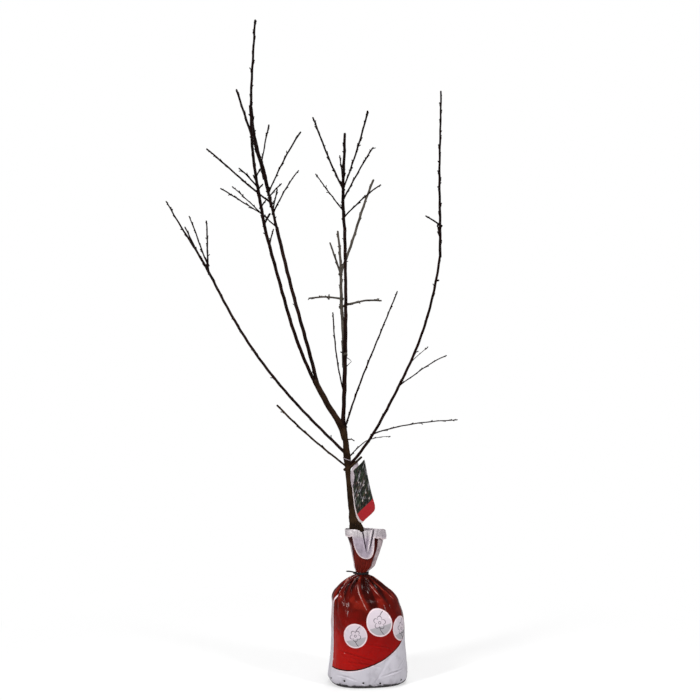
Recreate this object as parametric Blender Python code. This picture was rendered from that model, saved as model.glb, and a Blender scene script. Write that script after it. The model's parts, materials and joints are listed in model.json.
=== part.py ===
"""A young almond tree without leaves, standing on its bagged root ball, as separate solids.

Metres, +Z up. The origin is the middle of the bag's flat underside. +X is to the right and the
front of the bag faces -Y. Every limb is grown from its foot by its length, its lean and its girth.
"""

import math
import random
from collections import namedtuple

import bmesh
import bpy
from mathutils import Vector

GAP = 0.0003  # left between two pieces that meet
OVERLAP = 0.003  # how far a limb starts inside the one that carries it, before it is cut clear
SMOOTH_BELOW = math.radians(50)  # edges that turn less than this are shaded smooth
FRONT = Vector((0.0, -1.0, 0.0))
UP = Vector((0.0, 0.0, 1.0))

# Plain colours and roughnesses
MATERIALS = {
    "bark": ((0.045, 0.028, 0.018), 0.75),
    "grey_bark": ((0.11, 0.095, 0.075), 0.80),
    "bag_film": ((0.38, 0.02, 0.02), 0.30),
    "collar_film": ((0.62, 0.58, 0.62), 0.40),
    "tie_plastic": ((0.01, 0.01, 0.01), 0.40),
    "label_card": ((0.08, 0.12, 0.06), 0.35),
    "label_strap": ((0.70, 0.62, 0.60), 0.45),
}

# The root ball's bag: its level rings, from the flat underside to the neck
Ring = namedtuple("Ring", "height left right half_depth squareness pleat")
BAG_RINGS = (
    Ring(0.000, -0.082, 0.083, 0.060, 2.5, 0.00),
    Ring(0.006, -0.090, 0.091, 0.067, 2.6, 0.00),
    Ring(0.018, -0.094, 0.094, 0.071, 2.6, 0.00),
    Ring(0.042, -0.091, 0.093, 0.073, 2.6, 0.00),
    Ring(0.084, -0.087, 0.090, 0.075, 2.6, 0.00),
    Ring(0.150, -0.086, 0.085, 0.075, 2.6, 0.01),
    Ring(0.190, -0.085, 0.074, 0.067, 2.5, 0.02),
    Ring(0.209, -0.082, 0.060, 0.054, 2.4, 0.04),
    Ring(0.225, -0.074, 0.044, 0.043, 2.3, 0.06),
    Ring(0.238, -0.061, 0.028, 0.031, 2.2, 0.08),
    Ring(0.249, -0.044, 0.013, 0.022, 2.0, 0.10),
    Ring(0.2568, -0.0286, 0.0006, 0.0146, 2.0, 0.02),
    Ring(0.2625, -0.0280, 0.0000, 0.0142, 2.0, 0.03),
)
BAG_SEGMENTS = 48
BAG_PLEATS = 12
BAG_TURN = math.radians(8)  # the bag's flat front faces a little to the left

# The bag's collar above the tie, a thin flared cup
COLLAR_WALL = 0.0014
COLLAR_FLOOR = 0.002
COLLAR_RINGS = (
    Ring(0.2628, -0.030, 0.003, 0.0155, 2.0, 0.02),
    Ring(0.2760, -0.034, 0.017, 0.0200, 2.0, 0.03),
    Ring(0.2910, -0.036, 0.023, 0.0240, 2.0, 0.03),
    Ring(0.3240, -0.042, 0.034, 0.0300, 2.0, 0.04),
    Ring(0.3640, -0.053, 0.041, 0.0350, 2.0, 0.04),
)
COLLAR_SEGMENTS = 36
COLLAR_PLEATS = 6
RIM_WAVE = 0.003  # the rim rises and dips by this, twice round

# The tie round the neck
TIE_MIDDLE = Vector((-0.014, 0.0, 0.2594))
TIE_INNER_RADIUS = 0.0153
TIE_THICK = 0.0016
TIE_WIDE = 0.0040
TIE_SEGMENTS = 24
TIE_HEAD = Vector((0.0055, 0.0050, 0.0052))
TIE_HEAD_OUT = 0.0019  # from the band's outer face to the middle of the head
TIE_TAIL = Vector((0.023, 0.0016, 0.0032))
TIE_TAIL_RISE = math.radians(9)

# The trunk: upwards it loses its graft swelling and swells again where the limbs fork
Limb = namedtuple("Limb", "parent height length leans depth thick thin aside", defaults=(0.0,))
TIP = None
TRUNK_FOOT = Vector((-0.0175, 0.0, 0.2651))
TRUNK = Limb(None, TIP, 0.350, (-3, -7, -12, -6, -4, -5, -8), 0, 0.0150, 0.0135)
GRAFT = {"height": 0.357, "spread": 0.038, "swelling": 0.0148}
LOW_FORK = {"height": 0.537, "spread": 0.022, "swelling": 0.0040}
WAIST = {"height": 0.490, "spread": 0.050, "swelling": -0.0022}

# Limbs, each on its parent: the height of its foot, its length, its lean in degrees towards +X
# at even steps from foot to tip, its turn in degrees back towards +Y, and its girths.
BOUGHS = {
    "bough_twin_base": Limb(
        "trunk", TIP, 0.130, (-40, -36, -29, -28, -28), -2, 0.0140, 0.0122
    ),
    "bough_twin_left": Limb(
        "bough_twin_base", TIP, 0.387, (-26, -20, -15, -15, -14), -12, 0.0072, 0.0062, -0.0022
    ),
    "bough_twin_right": Limb(
        "bough_twin_base", TIP, 0.394, (-14, -16, -16, -14, -14), 10, 0.0078, 0.0064, 0.0032
    ),
    "bough_left": Limb("trunk", 0.5445, 0.575, (-48, -45, -39, -32, -27), 16, 0.0078, 0.0052),
    "bough_right": Limb("trunk", 0.5120, 0.568, (41, 28, 25, 15, 6), -13, 0.0078, 0.0054),
    "bough_centre": Limb(
        "bough_twin_base", 0.616, 0.473, (3, 1, 1, -1, -1), 2, 0.0088, 0.0066, 0.0040
    ),
    "bough_back": Limb("bough_centre", 0.786, 0.116, (-8, -3, -4), 26, 0.0056, 0.0050),
    "twig_twin_left": Limb("bough_twin_left", 1.038, 0.047, (11, 11), 30, 0.0026, 0.0022),
    "twig_long_right": Limb("trunk", 0.600, 0.368, (16, 22, 22), -17, 0.0036, 0.0024),
    "twig_low_left": Limb("trunk", 0.513, 0.233, (-52, -48, -42), -15, 0.0036, 0.0028),
    "twig_low_right": Limb("trunk", 0.532, 0.136, (45, 46, 80, 91), 26, 0.0030, 0.0024),
    "cut_stub": Limb("trunk", 0.508, 0.050, (50, 42), -28, 0.0048, 0.0040),
    "twig_inner": Limb("bough_centre", 0.690, 0.199, (-15, -7, -2), -12, 0.0030, 0.0022),
    "twig_side_right": Limb("bough_right", 0.594, 0.208, (69, 77, 83, 87), -16, 0.0032, 0.0022),
    "twig_mid_right": Limb("bough_right", 0.709, 0.140, (55, 55, 67), 14, 0.0030, 0.0022),
    "twig_far_right": Limb("bough_right", 0.761, 0.074, (44, 54), 35, 0.0026, 0.0022),
}

# The masses of bare twigs: a stem that carries a bough on, and the twigs that branch from it
CROWNS = {
    "crown_left": {
        "stem": Limb("bough_left", TIP, 0.250, (-29, -34, -30), 14, 0.0048, 0.0030),
        "inner": Limb("stem", 0.991, 0.146, (-8, -3, -6), 20, 0.0036, 0.0026),
        "middle": Limb("inner", 1.012, 0.130, (-24, -17, -23), -12, 0.0032, 0.0026),
        "outer": Limb("stem", 1.039, 0.100, (-29, -29), 32, 0.0030, 0.0026),
    },
    "crown_twin_left": {
        "stem": Limb("bough_twin_left", TIP, 0.476, (-10, -9, -1, 4, 4), -8, 0.0058, 0.0030),
        "low_back": Limb("stem", 1.085, 0.035, (25, 25), 30, 0.0026, 0.0022),
        "low_front": Limb("stem", 1.126, 0.020, (41, 41), -30, 0.0026, 0.0022),
        "mid_front": Limb("stem", 1.165, 0.019, (46, 46), -35, 0.0026, 0.0022),
        "side": Limb("stem", 1.171, 0.062, (-40, -51), -25, 0.0030, 0.0024),
        "side_back": Limb("stem", 1.181, 0.024, (-26, -26), 30, 0.0026, 0.0022),
        "high_back": Limb("stem", 1.193, 0.028, (21, 21), 35, 0.0026, 0.0022),
    },
    "crown_twin_right": {
        "stem": Limb("bough_twin_right", TIP, 0.383, (-13, -15, -19, -18), 11, 0.0060, 0.0030),
        "strand": Limb("stem", 1.249, 0.147, (-18, -12, -4), -10, 0.0034, 0.0026),
        "upright": Limb("stem", 1.249, 0.117, (7, 8, 12), 18, 0.0028, 0.0024),
        "right": Limb("stem", 1.180, 0.171, (24, 29, 36), -16, 0.0032, 0.0026),
        "right_short": Limb("stem", 1.172, 0.053, (34, 42), 30, 0.0028, 0.0024),
        "right_low": Limb("stem", 1.131, 0.122, (27, 31, 41), -14, 0.0030, 0.0026),
        "right_back": Limb("stem", 1.135, 0.070, (7, 10), 30, 0.0028, 0.0024),
        "left_long": Limb("stem", 1.158, 0.206, (-54, -48, -50), 2, 0.0032, 0.0026),
        "left_low": Limb("stem", 1.096, 0.157, (-48, -46, -48), 14, 0.0034, 0.0026),
        "left_back": Limb("left_low", 1.132, 0.158, (-58, -55, -57), 34, 0.0030, 0.0026),
    },
    "crown_centre": {
        "stem": Limb("bough_centre", TIP, 0.229, (-6, 0, 3, 0), -3, 0.0062, 0.0032),
        "right_low": Limb("stem", 1.113, 0.121, (45, 48, 59), -16, 0.0030, 0.0026),
        "left_low": Limb("stem", 1.130, 0.117, (-41, -37), -28, 0.0030, 0.0026),
        "right_back": Limb("stem", 1.154, 0.177, (26, 27, 31), 26, 0.0032, 0.0026),
        "right_high": Limb("stem", 1.180, 0.198, (22, 19, 14), -22, 0.0032, 0.0026),
        "left_high": Limb("stem", 1.183, 0.202, (-27, -21, -20), 14, 0.0032, 0.0026),
        "back": Limb("stem", 1.197, 0.091, (-5, -8), 35, 0.0026, 0.0022),
    },
    "crown_back": {
        "stem": Limb("bough_back", TIP, 0.222, (-2, -1, -8), 22, 0.0048, 0.0028),
        "spur_right": Limb("stem", 0.900, 0.112, (70, 78, 97), 25, 0.0030, 0.0022),
        "spur_left": Limb("stem", 0.920, 0.081, (-77, -89, -100), 10, 0.0030, 0.0022),
        "left": Limb("stem", 0.984, 0.104, (-19, -18), 35, 0.0036, 0.0026),
        "right": Limb("stem", 0.985, 0.299, (21, 16, 21), 28, 0.0040, 0.0028),
    },
    "crown_right": {
        "stem": Limb("bough_right", TIP, 0.366, (0, -2, 1, 0), -9, 0.0050, 0.0030),
        "back": Limb("stem", 1.048, 0.040, (-8, -7), 30, 0.0026, 0.0022),
        "left": Limb("stem", 1.079, 0.042, (-55, -67), -25, 0.0028, 0.0024),
    },
}

# Rings along a limb, and the short spurs that every twig of a mass bears
TRUNK_STEP = 0.014
BOUGH_STEP = 0.022
TWIG_STEP = 0.022
KINK = 1.6  # degrees that a limb turns to and fro from ring to ring
TRUNK_SIDES = 14
BOUGH_SIDES = 8
BOUGH_GIRTH = 0.0045  # a thinner limb has the sides of a stem
STEM_SIDES = 6
TWIG_SIDES = 5
SPUR_SIDES = 3
SPUR_STEP = 0.055
SPUR_FIRST = (0.4, 0.9)  # the first stands off the foot by this share of a step
SPUR_VARIES = (0.7, 1.3)  # the others' steps and lengths vary by this
SPUR_LENGTH = 0.0075
SPUR_THICK = 0.0019
SPUR_THIN = 0.0013
SPUR_OPENING = math.radians(48)
SPUR_CLEARANCE = 0.006
SPACE_MARGIN = 0.006
GOLDEN_ANGLE = math.radians(137.5)

# The label: a card that hangs from a strap looped round the trunk
CARD_CORNER = Vector((-0.0385, -0.0160, 0.5010))  # its upper left corner
CARD_ACROSS = Vector((0.030, -0.0345, 0.036))
CARD_DOWN = Vector((0.0250, -0.0885, -0.1055))
CARD_THICK = 0.0008
# Rows down the card, as shares of its height, and the shares of its width from which to which
# each runs: it widens downwards and its corners are cut.
CARD_ROWS = (
    (0.00, 0.04, 0.96), (0.03, -0.02, 1.00), (0.28, -0.08, 0.99), (0.64, -0.22, 0.98),
    (0.80, -0.25, 0.99), (0.93, -0.21, 1.00), (0.97, -0.16, 1.00), (1.00, -0.09, 0.95),
)
STRAP_HEIGHT = 0.5322
STRAP_WIDE = 0.0030
STRAP_THICK = 0.0008
STRAP_CLEARANCE = 0.0006
STRAP_SEGMENTS = 20
TONGUE_TURNS = (math.radians(-100), math.radians(-62))  # where the tongue leaves the band
TONGUE_SHARES = (0.06, 0.32)  # where it meets the card, as shares of its top edge
TONGUE_SINK = 0.0002  # how far its upper end starts within the band


def clear_scene():
    for obj in list(bpy.data.objects):
        bpy.data.objects.remove(obj, do_unlink=True)


def make_material(name):
    """A plain Principled material of this name's colour."""
    colour, roughness = MATERIALS[name]
    mat = bpy.data.materials.new(name)
    mat.use_nodes = True
    shader = mat.node_tree.nodes["Principled BSDF"]
    shader.inputs["Base Color"].default_value = (*colour, 1.0)
    shader.inputs["Roughness"].default_value = roughness
    shader.inputs["Metallic"].default_value = 0.0
    mat.diffuse_color = (*colour, 1.0)
    return mat


def add_object(name, bm, mat, smooth=True):
    """A new object of this closed mesh, its faces turned outwards."""
    bmesh.ops.recalc_face_normals(bm, faces=bm.faces[:])
    mesh = bpy.data.meshes.new(name)
    bm.to_mesh(mesh)
    bm.free()
    if mat:
        mesh.materials.append(mat)
    if smooth:
        mesh.shade_smooth()
        mesh.set_sharp_from_angle(angle=SMOOTH_BELOW)
    obj = bpy.data.objects.new(name, mesh)
    bpy.context.scene.collection.objects.link(obj)
    return obj


def loft(bm, rings):
    """Skins these rings of points, each as long as the next, and caps the first and the last."""
    loops = [[bm.verts.new(point) for point in ring] for ring in rings]
    for low, high in zip(loops, loops[1:]):
        for i, vert in enumerate(low):
            j = (i + 1) % len(low)
            bm.faces.new((vert, low[j], high[j], high[i]))
    bm.faces.new(loops[0][::-1])
    bm.faces.new(loops[-1])
    return loops


def evened(values, along):
    """The value this far (0 to 1) along values that stand at even steps."""
    if not isinstance(values, tuple):
        return values
    place = min(max(along, 0.0), 1.0) * (len(values) - 1)
    low = min(int(place), len(values) - 2)
    return values[low] + (values[low + 1] - values[low]) * (place - low)


def direction(lean, depth):
    """The unit vector of this lean towards +X and this turn back towards +Y, in degrees."""
    lean = math.radians(lean)
    depth = math.radians(depth)
    return Vector(
        (math.sin(lean) * math.cos(depth), math.sin(depth), math.cos(lean) * math.cos(depth))
    )


def grow(foot, limb, step, seed):
    """The limb's centre line from its foot: points about one step apart."""
    rng = random.Random(seed)
    steps = max(2, round(limb.length / step))
    points = [foot.copy()]
    for i in range(steps):
        along = (i + 0.5) / steps
        side = 1 if i % 2 else -1
        lean = evened(limb.leans, along) + side * KINK
        depth = limb.depth + rng.uniform(-KINK, KINK)
        points.append(points[-1] + direction(lean, depth) * (limb.length / steps))
    return points


def point_at_height(points, height):
    """Where a rising centre line passes this height."""
    for low, high in zip(points, points[1:]):
        if low.z <= height <= high.z:
            return low.lerp(high, (height - low.z) / (high.z - low.z))
    return points[-1] if height > points[-1].z else points[0]


def foot_on(limb, lines):
    """Where this limb starts, inside the one that carries it."""
    line = lines[limb.parent]
    aside = Vector((limb.aside, 0.0, 0.0))
    if limb.height is not TIP:
        return point_at_height(line, limb.height) + aside
    heading = (line[-1] - line[-2]).normalized()
    return line[-1] - heading * OVERLAP + aside


def taper(limb, count):
    """Radii from foot to tip."""
    return [evened((limb.thick, limb.thin), i / (count - 1)) / 2 for i in range(count)]


def swelling(form, height):
    return form["swelling"] / 2 * math.exp(-(((height - form["height"]) / form["spread"]) ** 2))


def trunk_radii(line):
    """The trunk's taper with its graft, its waist and the swelling at the lower fork."""
    forms = (GRAFT, WAIST, LOW_FORK)
    plain = taper(TRUNK, len(line))
    return [radius + sum(swelling(f, p.z) for f in forms) for radius, p in zip(plain, line)]


def ring_round(point, heading, across, radius, sides):
    up = heading.cross(across)
    ring = []
    for k in range(sides):
        turn = 2 * math.pi * k / sides
        ring.append(point + (across * math.cos(turn) + up * math.sin(turn)) * radius)
    return ring


def tube(name, line, radii, sides, mat=None, grown=0.0, level_foot=False):
    """A tapering tube with flat ends. A grown one is that much larger all over, for cutting."""
    if grown:
        radii = [(radius + grown) / math.cos(math.pi / sides) for radius in radii]
        first = (line[0] - line[1]).normalized() * grown
        last = (line[-1] - line[-2]).normalized() * grown
        line = [line[0] + first, *line[1:-1], line[-1] + last]
    rings = []
    across = FRONT
    for i, point in enumerate(line):
        ahead = line[min(i + 1, len(line) - 1)]
        behind = line[max(i - 1, 0)]
        heading = (ahead - behind).normalized()
        if level_foot and i == 0:
            heading = UP
        across = (across - heading * across.dot(heading)).normalized()
        rings.append(ring_round(point, heading, across, radii[i], sides))
    bm = bmesh.new()
    loft(bm, rings)
    return add_object(name, bm, mat)


def apply_boolean(obj, others, operation):
    """Joins these objects to obj, or cuts them from it, and removes them."""
    tools = bpy.data.collections.new("tools")
    bpy.context.scene.collection.children.link(tools)
    for other in others:
        bpy.context.scene.collection.objects.unlink(other)
        tools.objects.link(other)
    boolean = obj.modifiers.new("boolean", "BOOLEAN")
    boolean.operation = operation
    boolean.operand_type = "COLLECTION"
    boolean.collection = tools
    depsgraph = bpy.context.evaluated_depsgraph_get()
    mesh = bpy.data.meshes.new_from_object(obj.evaluated_get(depsgraph))
    obj.modifiers.remove(boolean)
    obj.data = mesh
    mesh.name = obj.name
    for other in others:
        bpy.data.objects.remove(other, do_unlink=True)
    bpy.data.collections.remove(tools)


def spur_line(point, heading, turn, length):
    """A spur's centre line, leaning off its twig and turned about it."""
    across = heading.orthogonal().normalized()
    up = heading.cross(across)
    out = across * math.cos(turn) + up * math.sin(turn)
    way = heading * math.cos(SPUR_OPENING) + out * math.sin(SPUR_OPENING)
    return [point, point + way * length]


def spurs_along(line, seed):
    """The spurs of one twig by a seeded rule, each turned on from the last."""
    rng = random.Random(seed)
    turn = rng.uniform(0.0, 2 * math.pi)
    spurs = []
    ahead = SPUR_STEP * rng.uniform(*SPUR_FIRST)
    for low, high in zip(line, line[1:]):
        span = (high - low).length
        while ahead < span:
            turn += GOLDEN_ANGLE
            heading = (high - low).normalized()
            length = SPUR_LENGTH * rng.uniform(*SPUR_VARIES)
            spurs.append(spur_line(low + heading * ahead, heading, turn, length))
            ahead += SPUR_STEP * rng.uniform(*SPUR_VARIES)
        ahead -= span
    return spurs


def near_line(point, line, distance):
    """Whether a centre line passes this near to a point."""
    for low, high in zip(line, line[1:]):
        run = high - low
        along = min(max((point - low).dot(run) / run.length_squared, 0.0), 1.0)
        if (low + run * along - point).length < distance:
            return True
    return False


def kept_spurs(spurs, own_lines, others):
    """The spurs, each with its twig's name, that stay in their mass's space, clear of other limbs."""
    points = [point for line in own_lines.values() for point in line]
    low = [min(p[axis] for p in points) - SPACE_MARGIN for axis in range(3)]
    high = [max(p[axis] for p in points) + SPACE_MARGIN for axis in range(3)]
    kept = []
    for name, line in spurs:
        tip = line[-1]
        inside = all(low[axis] < tip[axis] < high[axis] for axis in range(3))
        rivals = [other for own, other in own_lines.items() if own != name] + others
        if inside and not any(near_line(tip, rival, SPUR_CLEARANCE) for rival in rivals):
            kept.append(line)
    return kept


def make_trunk(mat, lines, cutters):
    line = grow(TRUNK_FOOT, TRUNK, TRUNK_STEP, "trunk")
    lines["trunk"] = line
    radii = trunk_radii(line)
    tube("trunk", line, radii, TRUNK_SIDES, mat, level_foot=True)
    cutters["trunk"] = (line, radii, TRUNK_SIDES)


def cut_clear(obj, names, cutters):
    """Cuts obj clear of the limbs of these names."""
    tools = []
    for name in names:
        line, radii, sides = cutters[name]
        tools.append(tube(name + "_cutter", line, radii, sides, grown=GAP))
    for tool in tools:
        tool.hide_render = True
        tool.display_type = "WIRE"
    apply_boolean(obj, tools, "DIFFERENCE")


# What a limb also starts against, beside its parent
NEIGHBOURS = {
    "bough_twin_right": ["bough_twin_left"],
    "bough_centre": ["trunk"],
    "twig_long_right": ["bough_centre", "bough_twin_base"],
    "cut_stub": ["bough_right"],
    "twig_low_right": ["bough_right"],
    "crown_back": ["bough_centre"],
}


def make_boughs(bark, grey_bark, lines, cutters):
    for name, limb in BOUGHS.items():
        foot = foot_on(limb, lines)
        line = grow(foot, limb, BOUGH_STEP, name)
        lines[name] = line
        radii = taper(limb, len(line))
        sides = BOUGH_SIDES if limb.thick > BOUGH_GIRTH else STEM_SIDES
        mat = grey_bark if name == "bough_back" else bark
        obj = tube(name, line, radii, sides, mat)
        cut_clear(obj, [limb.parent] + NEIGHBOURS.get(name, []), cutters)
        cutters[name] = (line, radii, sides)


def make_crown(name, twigs, mat, lines, cutters):
    """A mass of bare twigs: its stem, the twigs on it and their spurs, fused in one."""
    stem = twigs["stem"]
    own = {}
    pieces = []
    spurs = []
    for twig_name, twig in twigs.items():
        foot = foot_on(twig, lines if twig_name == "stem" else own)
        line = grow(foot, twig, TWIG_STEP, name + twig_name)
        own[twig_name] = line
        sides = STEM_SIDES if twig_name == "stem" else TWIG_SIDES
        pieces.append(tube(twig_name, line, taper(twig, len(line)), sides, mat))
        spurs += [(twig_name, spur) for spur in spurs_along(line, name + twig_name)]
    for line in kept_spurs(spurs, own, list(lines.values())):
        radii = [SPUR_THICK / 2, SPUR_THIN / 2]
        pieces.append(tube("spur", line, radii, SPUR_SIDES, mat))
    mass = pieces[0]
    mass.name = name
    apply_boolean(mass, pieces[1:], "UNION")
    cut_clear(mass, [stem.parent] + NEIGHBOURS.get(name, []), cutters)
    for twig_name, line in own.items():
        lines[name + "." + twig_name] = line


def section(ring, inset=0.0, segments=BAG_SEGMENTS, pleats=BAG_PLEATS, rise=0.0, swing=0.0):
    """One level ring of the bag: a squarish oval with pleats, turned about its middle."""
    middle = (ring.left + ring.right) / 2
    half_width = (ring.right - ring.left) / 2 - inset
    half_depth = ring.half_depth - inset
    power = 2.0 / ring.squareness
    points = []
    for k in range(segments):
        turn = 2 * math.pi * k / segments
        across = math.cos(turn)
        along = math.sin(turn)
        pleat = 1.0 + ring.pleat * math.cos(pleats * turn)
        x = math.copysign(abs(across) ** power, across) * half_width * pleat
        y = math.copysign(abs(along) ** power, along) * half_depth * pleat
        turned_x = middle + x * math.cos(swing) - y * math.sin(swing)
        turned_y = x * math.sin(swing) + y * math.cos(swing)
        points.append(Vector((turned_x, turned_y, ring.height + rise * math.cos(2 * turn))))
    return points


def make_root_bag(mat):
    bm = bmesh.new()
    loft(bm, [section(ring, swing=BAG_TURN) for ring in BAG_RINGS])
    add_object("root_bag", bm, mat)


def make_collar(mat):
    """The flared cup: up its outside, over the rim, and down to a floor inside."""
    last = len(COLLAR_RINGS) - 1
    outside = []
    inside = []
    for i, ring in enumerate(COLLAR_RINGS):
        rise = RIM_WAVE * (i / last) ** 2
        outside.append(section(ring, 0.0, COLLAR_SEGMENTS, COLLAR_PLEATS, rise))
        floor = COLLAR_FLOOR if i == 0 else 0.0
        lifted = ring._replace(height=ring.height + floor)
        inside.append(section(lifted, COLLAR_WALL, COLLAR_SEGMENTS, COLLAR_PLEATS, rise))
    bm = bmesh.new()
    loft(bm, outside + inside[::-1])
    add_object("bag_collar", bm, mat)


def make_band(name, middle, inner, thick, wide, segments, mat):
    """A level flat band round a point."""
    half = UP * (wide / 2)
    bm = bmesh.new()
    rings = []
    for k in range(segments):
        turn = 2 * math.pi * k / segments
        out = Vector((math.cos(turn), math.sin(turn), 0.0))
        near = middle + out * inner
        far = near + out * thick
        corners = (near - half, far - half, far + half, near + half)
        rings.append([bm.verts.new(corner) for corner in corners])
    for k, ring in enumerate(rings):
        ahead = rings[(k + 1) % segments]
        for i, vert in enumerate(ring):
            j = (i + 1) % len(ring)
            bm.faces.new((vert, ahead[i], ahead[j], ring[j]))
    return add_object(name, bm, mat, smooth=False)


def make_tie(mat):
    """A band round the neck, with its head and its tail to the left."""
    band = make_band(
        "cable_tie", TIE_MIDDLE, TIE_INNER_RADIUS, TIE_THICK, TIE_WIDE, TIE_SEGMENTS, mat
    )
    edge = TIE_MIDDLE - Vector((TIE_INNER_RADIUS + TIE_THICK, 0.0, 0.0))
    head = add_block("head", edge - Vector((TIE_HEAD_OUT, 0.0, 0.0)), TIE_HEAD, 0.0)
    rise = Vector((-math.cos(TIE_TAIL_RISE), 0.0, math.sin(TIE_TAIL_RISE)))
    tail = add_block("tail", edge + rise * (TIE_TAIL.x / 2), TIE_TAIL, TIE_TAIL_RISE)
    apply_boolean(band, [head, tail], "UNION")


def add_block(name, middle, size, pitch):
    """A box of this size, tipped about Y."""
    bm = bmesh.new()
    bmesh.ops.create_cube(bm, size=1.0)
    for vert in bm.verts:
        x = vert.co.x * size.x
        z = vert.co.z * size.z
        turned_x = x * math.cos(pitch) + z * math.sin(pitch)
        turned_z = -x * math.sin(pitch) + z * math.cos(pitch)
        vert.co = middle + Vector((turned_x, vert.co.y * size.y, turned_z))
    return add_object(name, bm, None, smooth=False)


def make_card(mat):
    """The label's card, hung by its upper left corner."""
    across, down, through = card_axes()
    wide = across * CARD_ACROSS.length
    tall = down * CARD_DOWN.length
    half = through * (CARD_THICK / 2)
    left = [CARD_CORNER + tall * row + wide * start for row, start, _ in CARD_ROWS]
    right = [CARD_CORNER + tall * row + wide * end for row, _, end in CARD_ROWS]
    outline = left[::-1] + right
    bm = bmesh.new()
    loft(bm, [[p - half for p in outline], [p + half for p in outline]])
    add_object("label_card", bm, mat, smooth=False)


def card_axes():
    """The card's unit directions: across its top, down its side and through its thickness."""
    across = CARD_ACROSS.normalized()
    down = (CARD_DOWN - across * CARD_DOWN.dot(across)).normalized()
    return across, down, across.cross(down)


def make_tongue(middle, radius):
    """The strip from the band's front down to the card's top edge."""
    across, down, through = card_axes()
    top = []
    for turn in TONGUE_TURNS:
        out = Vector((math.cos(turn), math.sin(turn), 0.0))
        top += [middle + out * radius, middle + out * (radius + STRAP_THICK)]
    low = []
    for share in TONGUE_SHARES:
        edge = CARD_CORNER + across * CARD_ACROSS.length * share - down * GAP
        low += [edge + through * (STRAP_THICK / 2), edge - through * (STRAP_THICK / 2)]
    order = (0, 1, 3, 2)
    bm = bmesh.new()
    loft(bm, [[top[i] for i in order], [low[i] for i in order]])
    return add_object("tongue", bm, None, smooth=False)


def make_strap(mat, lines, cutters):
    """A band round the trunk and the tongue that runs from it to the card's top."""
    line, radii, _ = cutters["trunk"]
    middle = point_at_height(line, STRAP_HEIGHT)
    near = [r for p, r in zip(line, radii) if abs(p.z - STRAP_HEIGHT) < TRUNK_STEP]
    inner = max(near) + STRAP_CLEARANCE
    band = make_band("label_strap", middle, inner, STRAP_THICK, STRAP_WIDE, STRAP_SEGMENTS, mat)
    apply_boolean(band, [make_tongue(middle, inner + TONGUE_SINK)], "UNION")


def main():
    clear_scene()
    bark = make_material("bark")
    grey_bark = make_material("grey_bark")
    lines = {}
    cutters = {}
    make_root_bag(make_material("bag_film"))
    make_collar(make_material("collar_film"))
    make_tie(make_material("tie_plastic"))
    make_trunk(bark, lines, cutters)
    make_boughs(bark, grey_bark, lines, cutters)
    for name, twigs in CROWNS.items():
        make_crown(name, twigs, grey_bark if name == "crown_back" else bark, lines, cutters)
    make_card(make_material("label_card"))
    make_strap(make_material("label_strap"), lines, cutters)


main()
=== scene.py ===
"""The dressed almond tree: bark, twigs, buds, printed bag, rolled collar, tie and hanging label.

Metres, +Z up, in the frame's own axes: the origin is the middle of the bag's flat underside, +X is to
the right and the front of the bag faces -Y. Limbs and twigs grow by the same rule and from the same
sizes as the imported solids, and are carried on to buds and finer spurs.
"""

import json
import math
import random
from collections import namedtuple

import bpy
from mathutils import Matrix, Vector, kdtree, noise

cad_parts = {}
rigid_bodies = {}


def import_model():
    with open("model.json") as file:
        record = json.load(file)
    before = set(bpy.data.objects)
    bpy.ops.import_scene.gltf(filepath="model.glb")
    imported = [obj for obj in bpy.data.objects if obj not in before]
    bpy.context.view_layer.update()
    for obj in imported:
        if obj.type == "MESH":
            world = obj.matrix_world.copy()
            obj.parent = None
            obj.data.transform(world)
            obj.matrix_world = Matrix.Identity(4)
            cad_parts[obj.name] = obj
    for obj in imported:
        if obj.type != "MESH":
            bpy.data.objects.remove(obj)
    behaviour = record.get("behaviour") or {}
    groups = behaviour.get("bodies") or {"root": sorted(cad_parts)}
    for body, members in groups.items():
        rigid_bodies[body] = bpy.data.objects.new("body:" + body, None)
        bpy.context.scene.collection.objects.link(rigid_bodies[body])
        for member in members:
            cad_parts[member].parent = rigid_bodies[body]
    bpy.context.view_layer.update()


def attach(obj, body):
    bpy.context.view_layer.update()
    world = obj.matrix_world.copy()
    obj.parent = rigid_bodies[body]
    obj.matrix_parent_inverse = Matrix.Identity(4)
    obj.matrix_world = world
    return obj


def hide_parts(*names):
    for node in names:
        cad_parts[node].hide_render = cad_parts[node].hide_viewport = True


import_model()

FRONT = Vector((0.0, -1.0, 0.0))
UP = Vector((0.0, 0.0, 1.0))
TIP = None

# The limbs, as in the solids: parent, height of the foot, length, leans in degrees towards +X at even
# steps from foot to tip, turn in degrees back towards +Y, girth at foot and tip, sideways offset. The
# last value is how much fuller or thinner than by the common rule the bark is, from foot to tip
Limb = namedtuple(
    "Limb", "parent height length leans depth thick thin aside girth", defaults=(0.0, (1.0, 1.0))
)
OVERLAP = 0.003  # how far back in its parent's tip a limb starts
TRUNK_FOOT = Vector((-0.0175, 0.0, 0.2651))
TRUNK = Limb(None, TIP, 0.350, (-3, -7, -12, -6, -4, -5, -8), 0, 0.0150, 0.0135)
TRUNK_STEP = 0.014
LIMB_STEP = 0.022
KINK = 1.6  # degrees that a limb turns to and fro from step to step
Bulge = namedtuple("Bulge", "height spread size")
GRAFT = Bulge(0.357, 0.038, 0.0148)
LOW_FORK = Bulge(0.537, 0.022, 0.0040)
WAIST = Bulge(0.490, 0.050, -0.0010)
GRAFT_LOBE = Bulge(0.362, 0.018, 0.34)  # the graft stands out to the right

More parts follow.
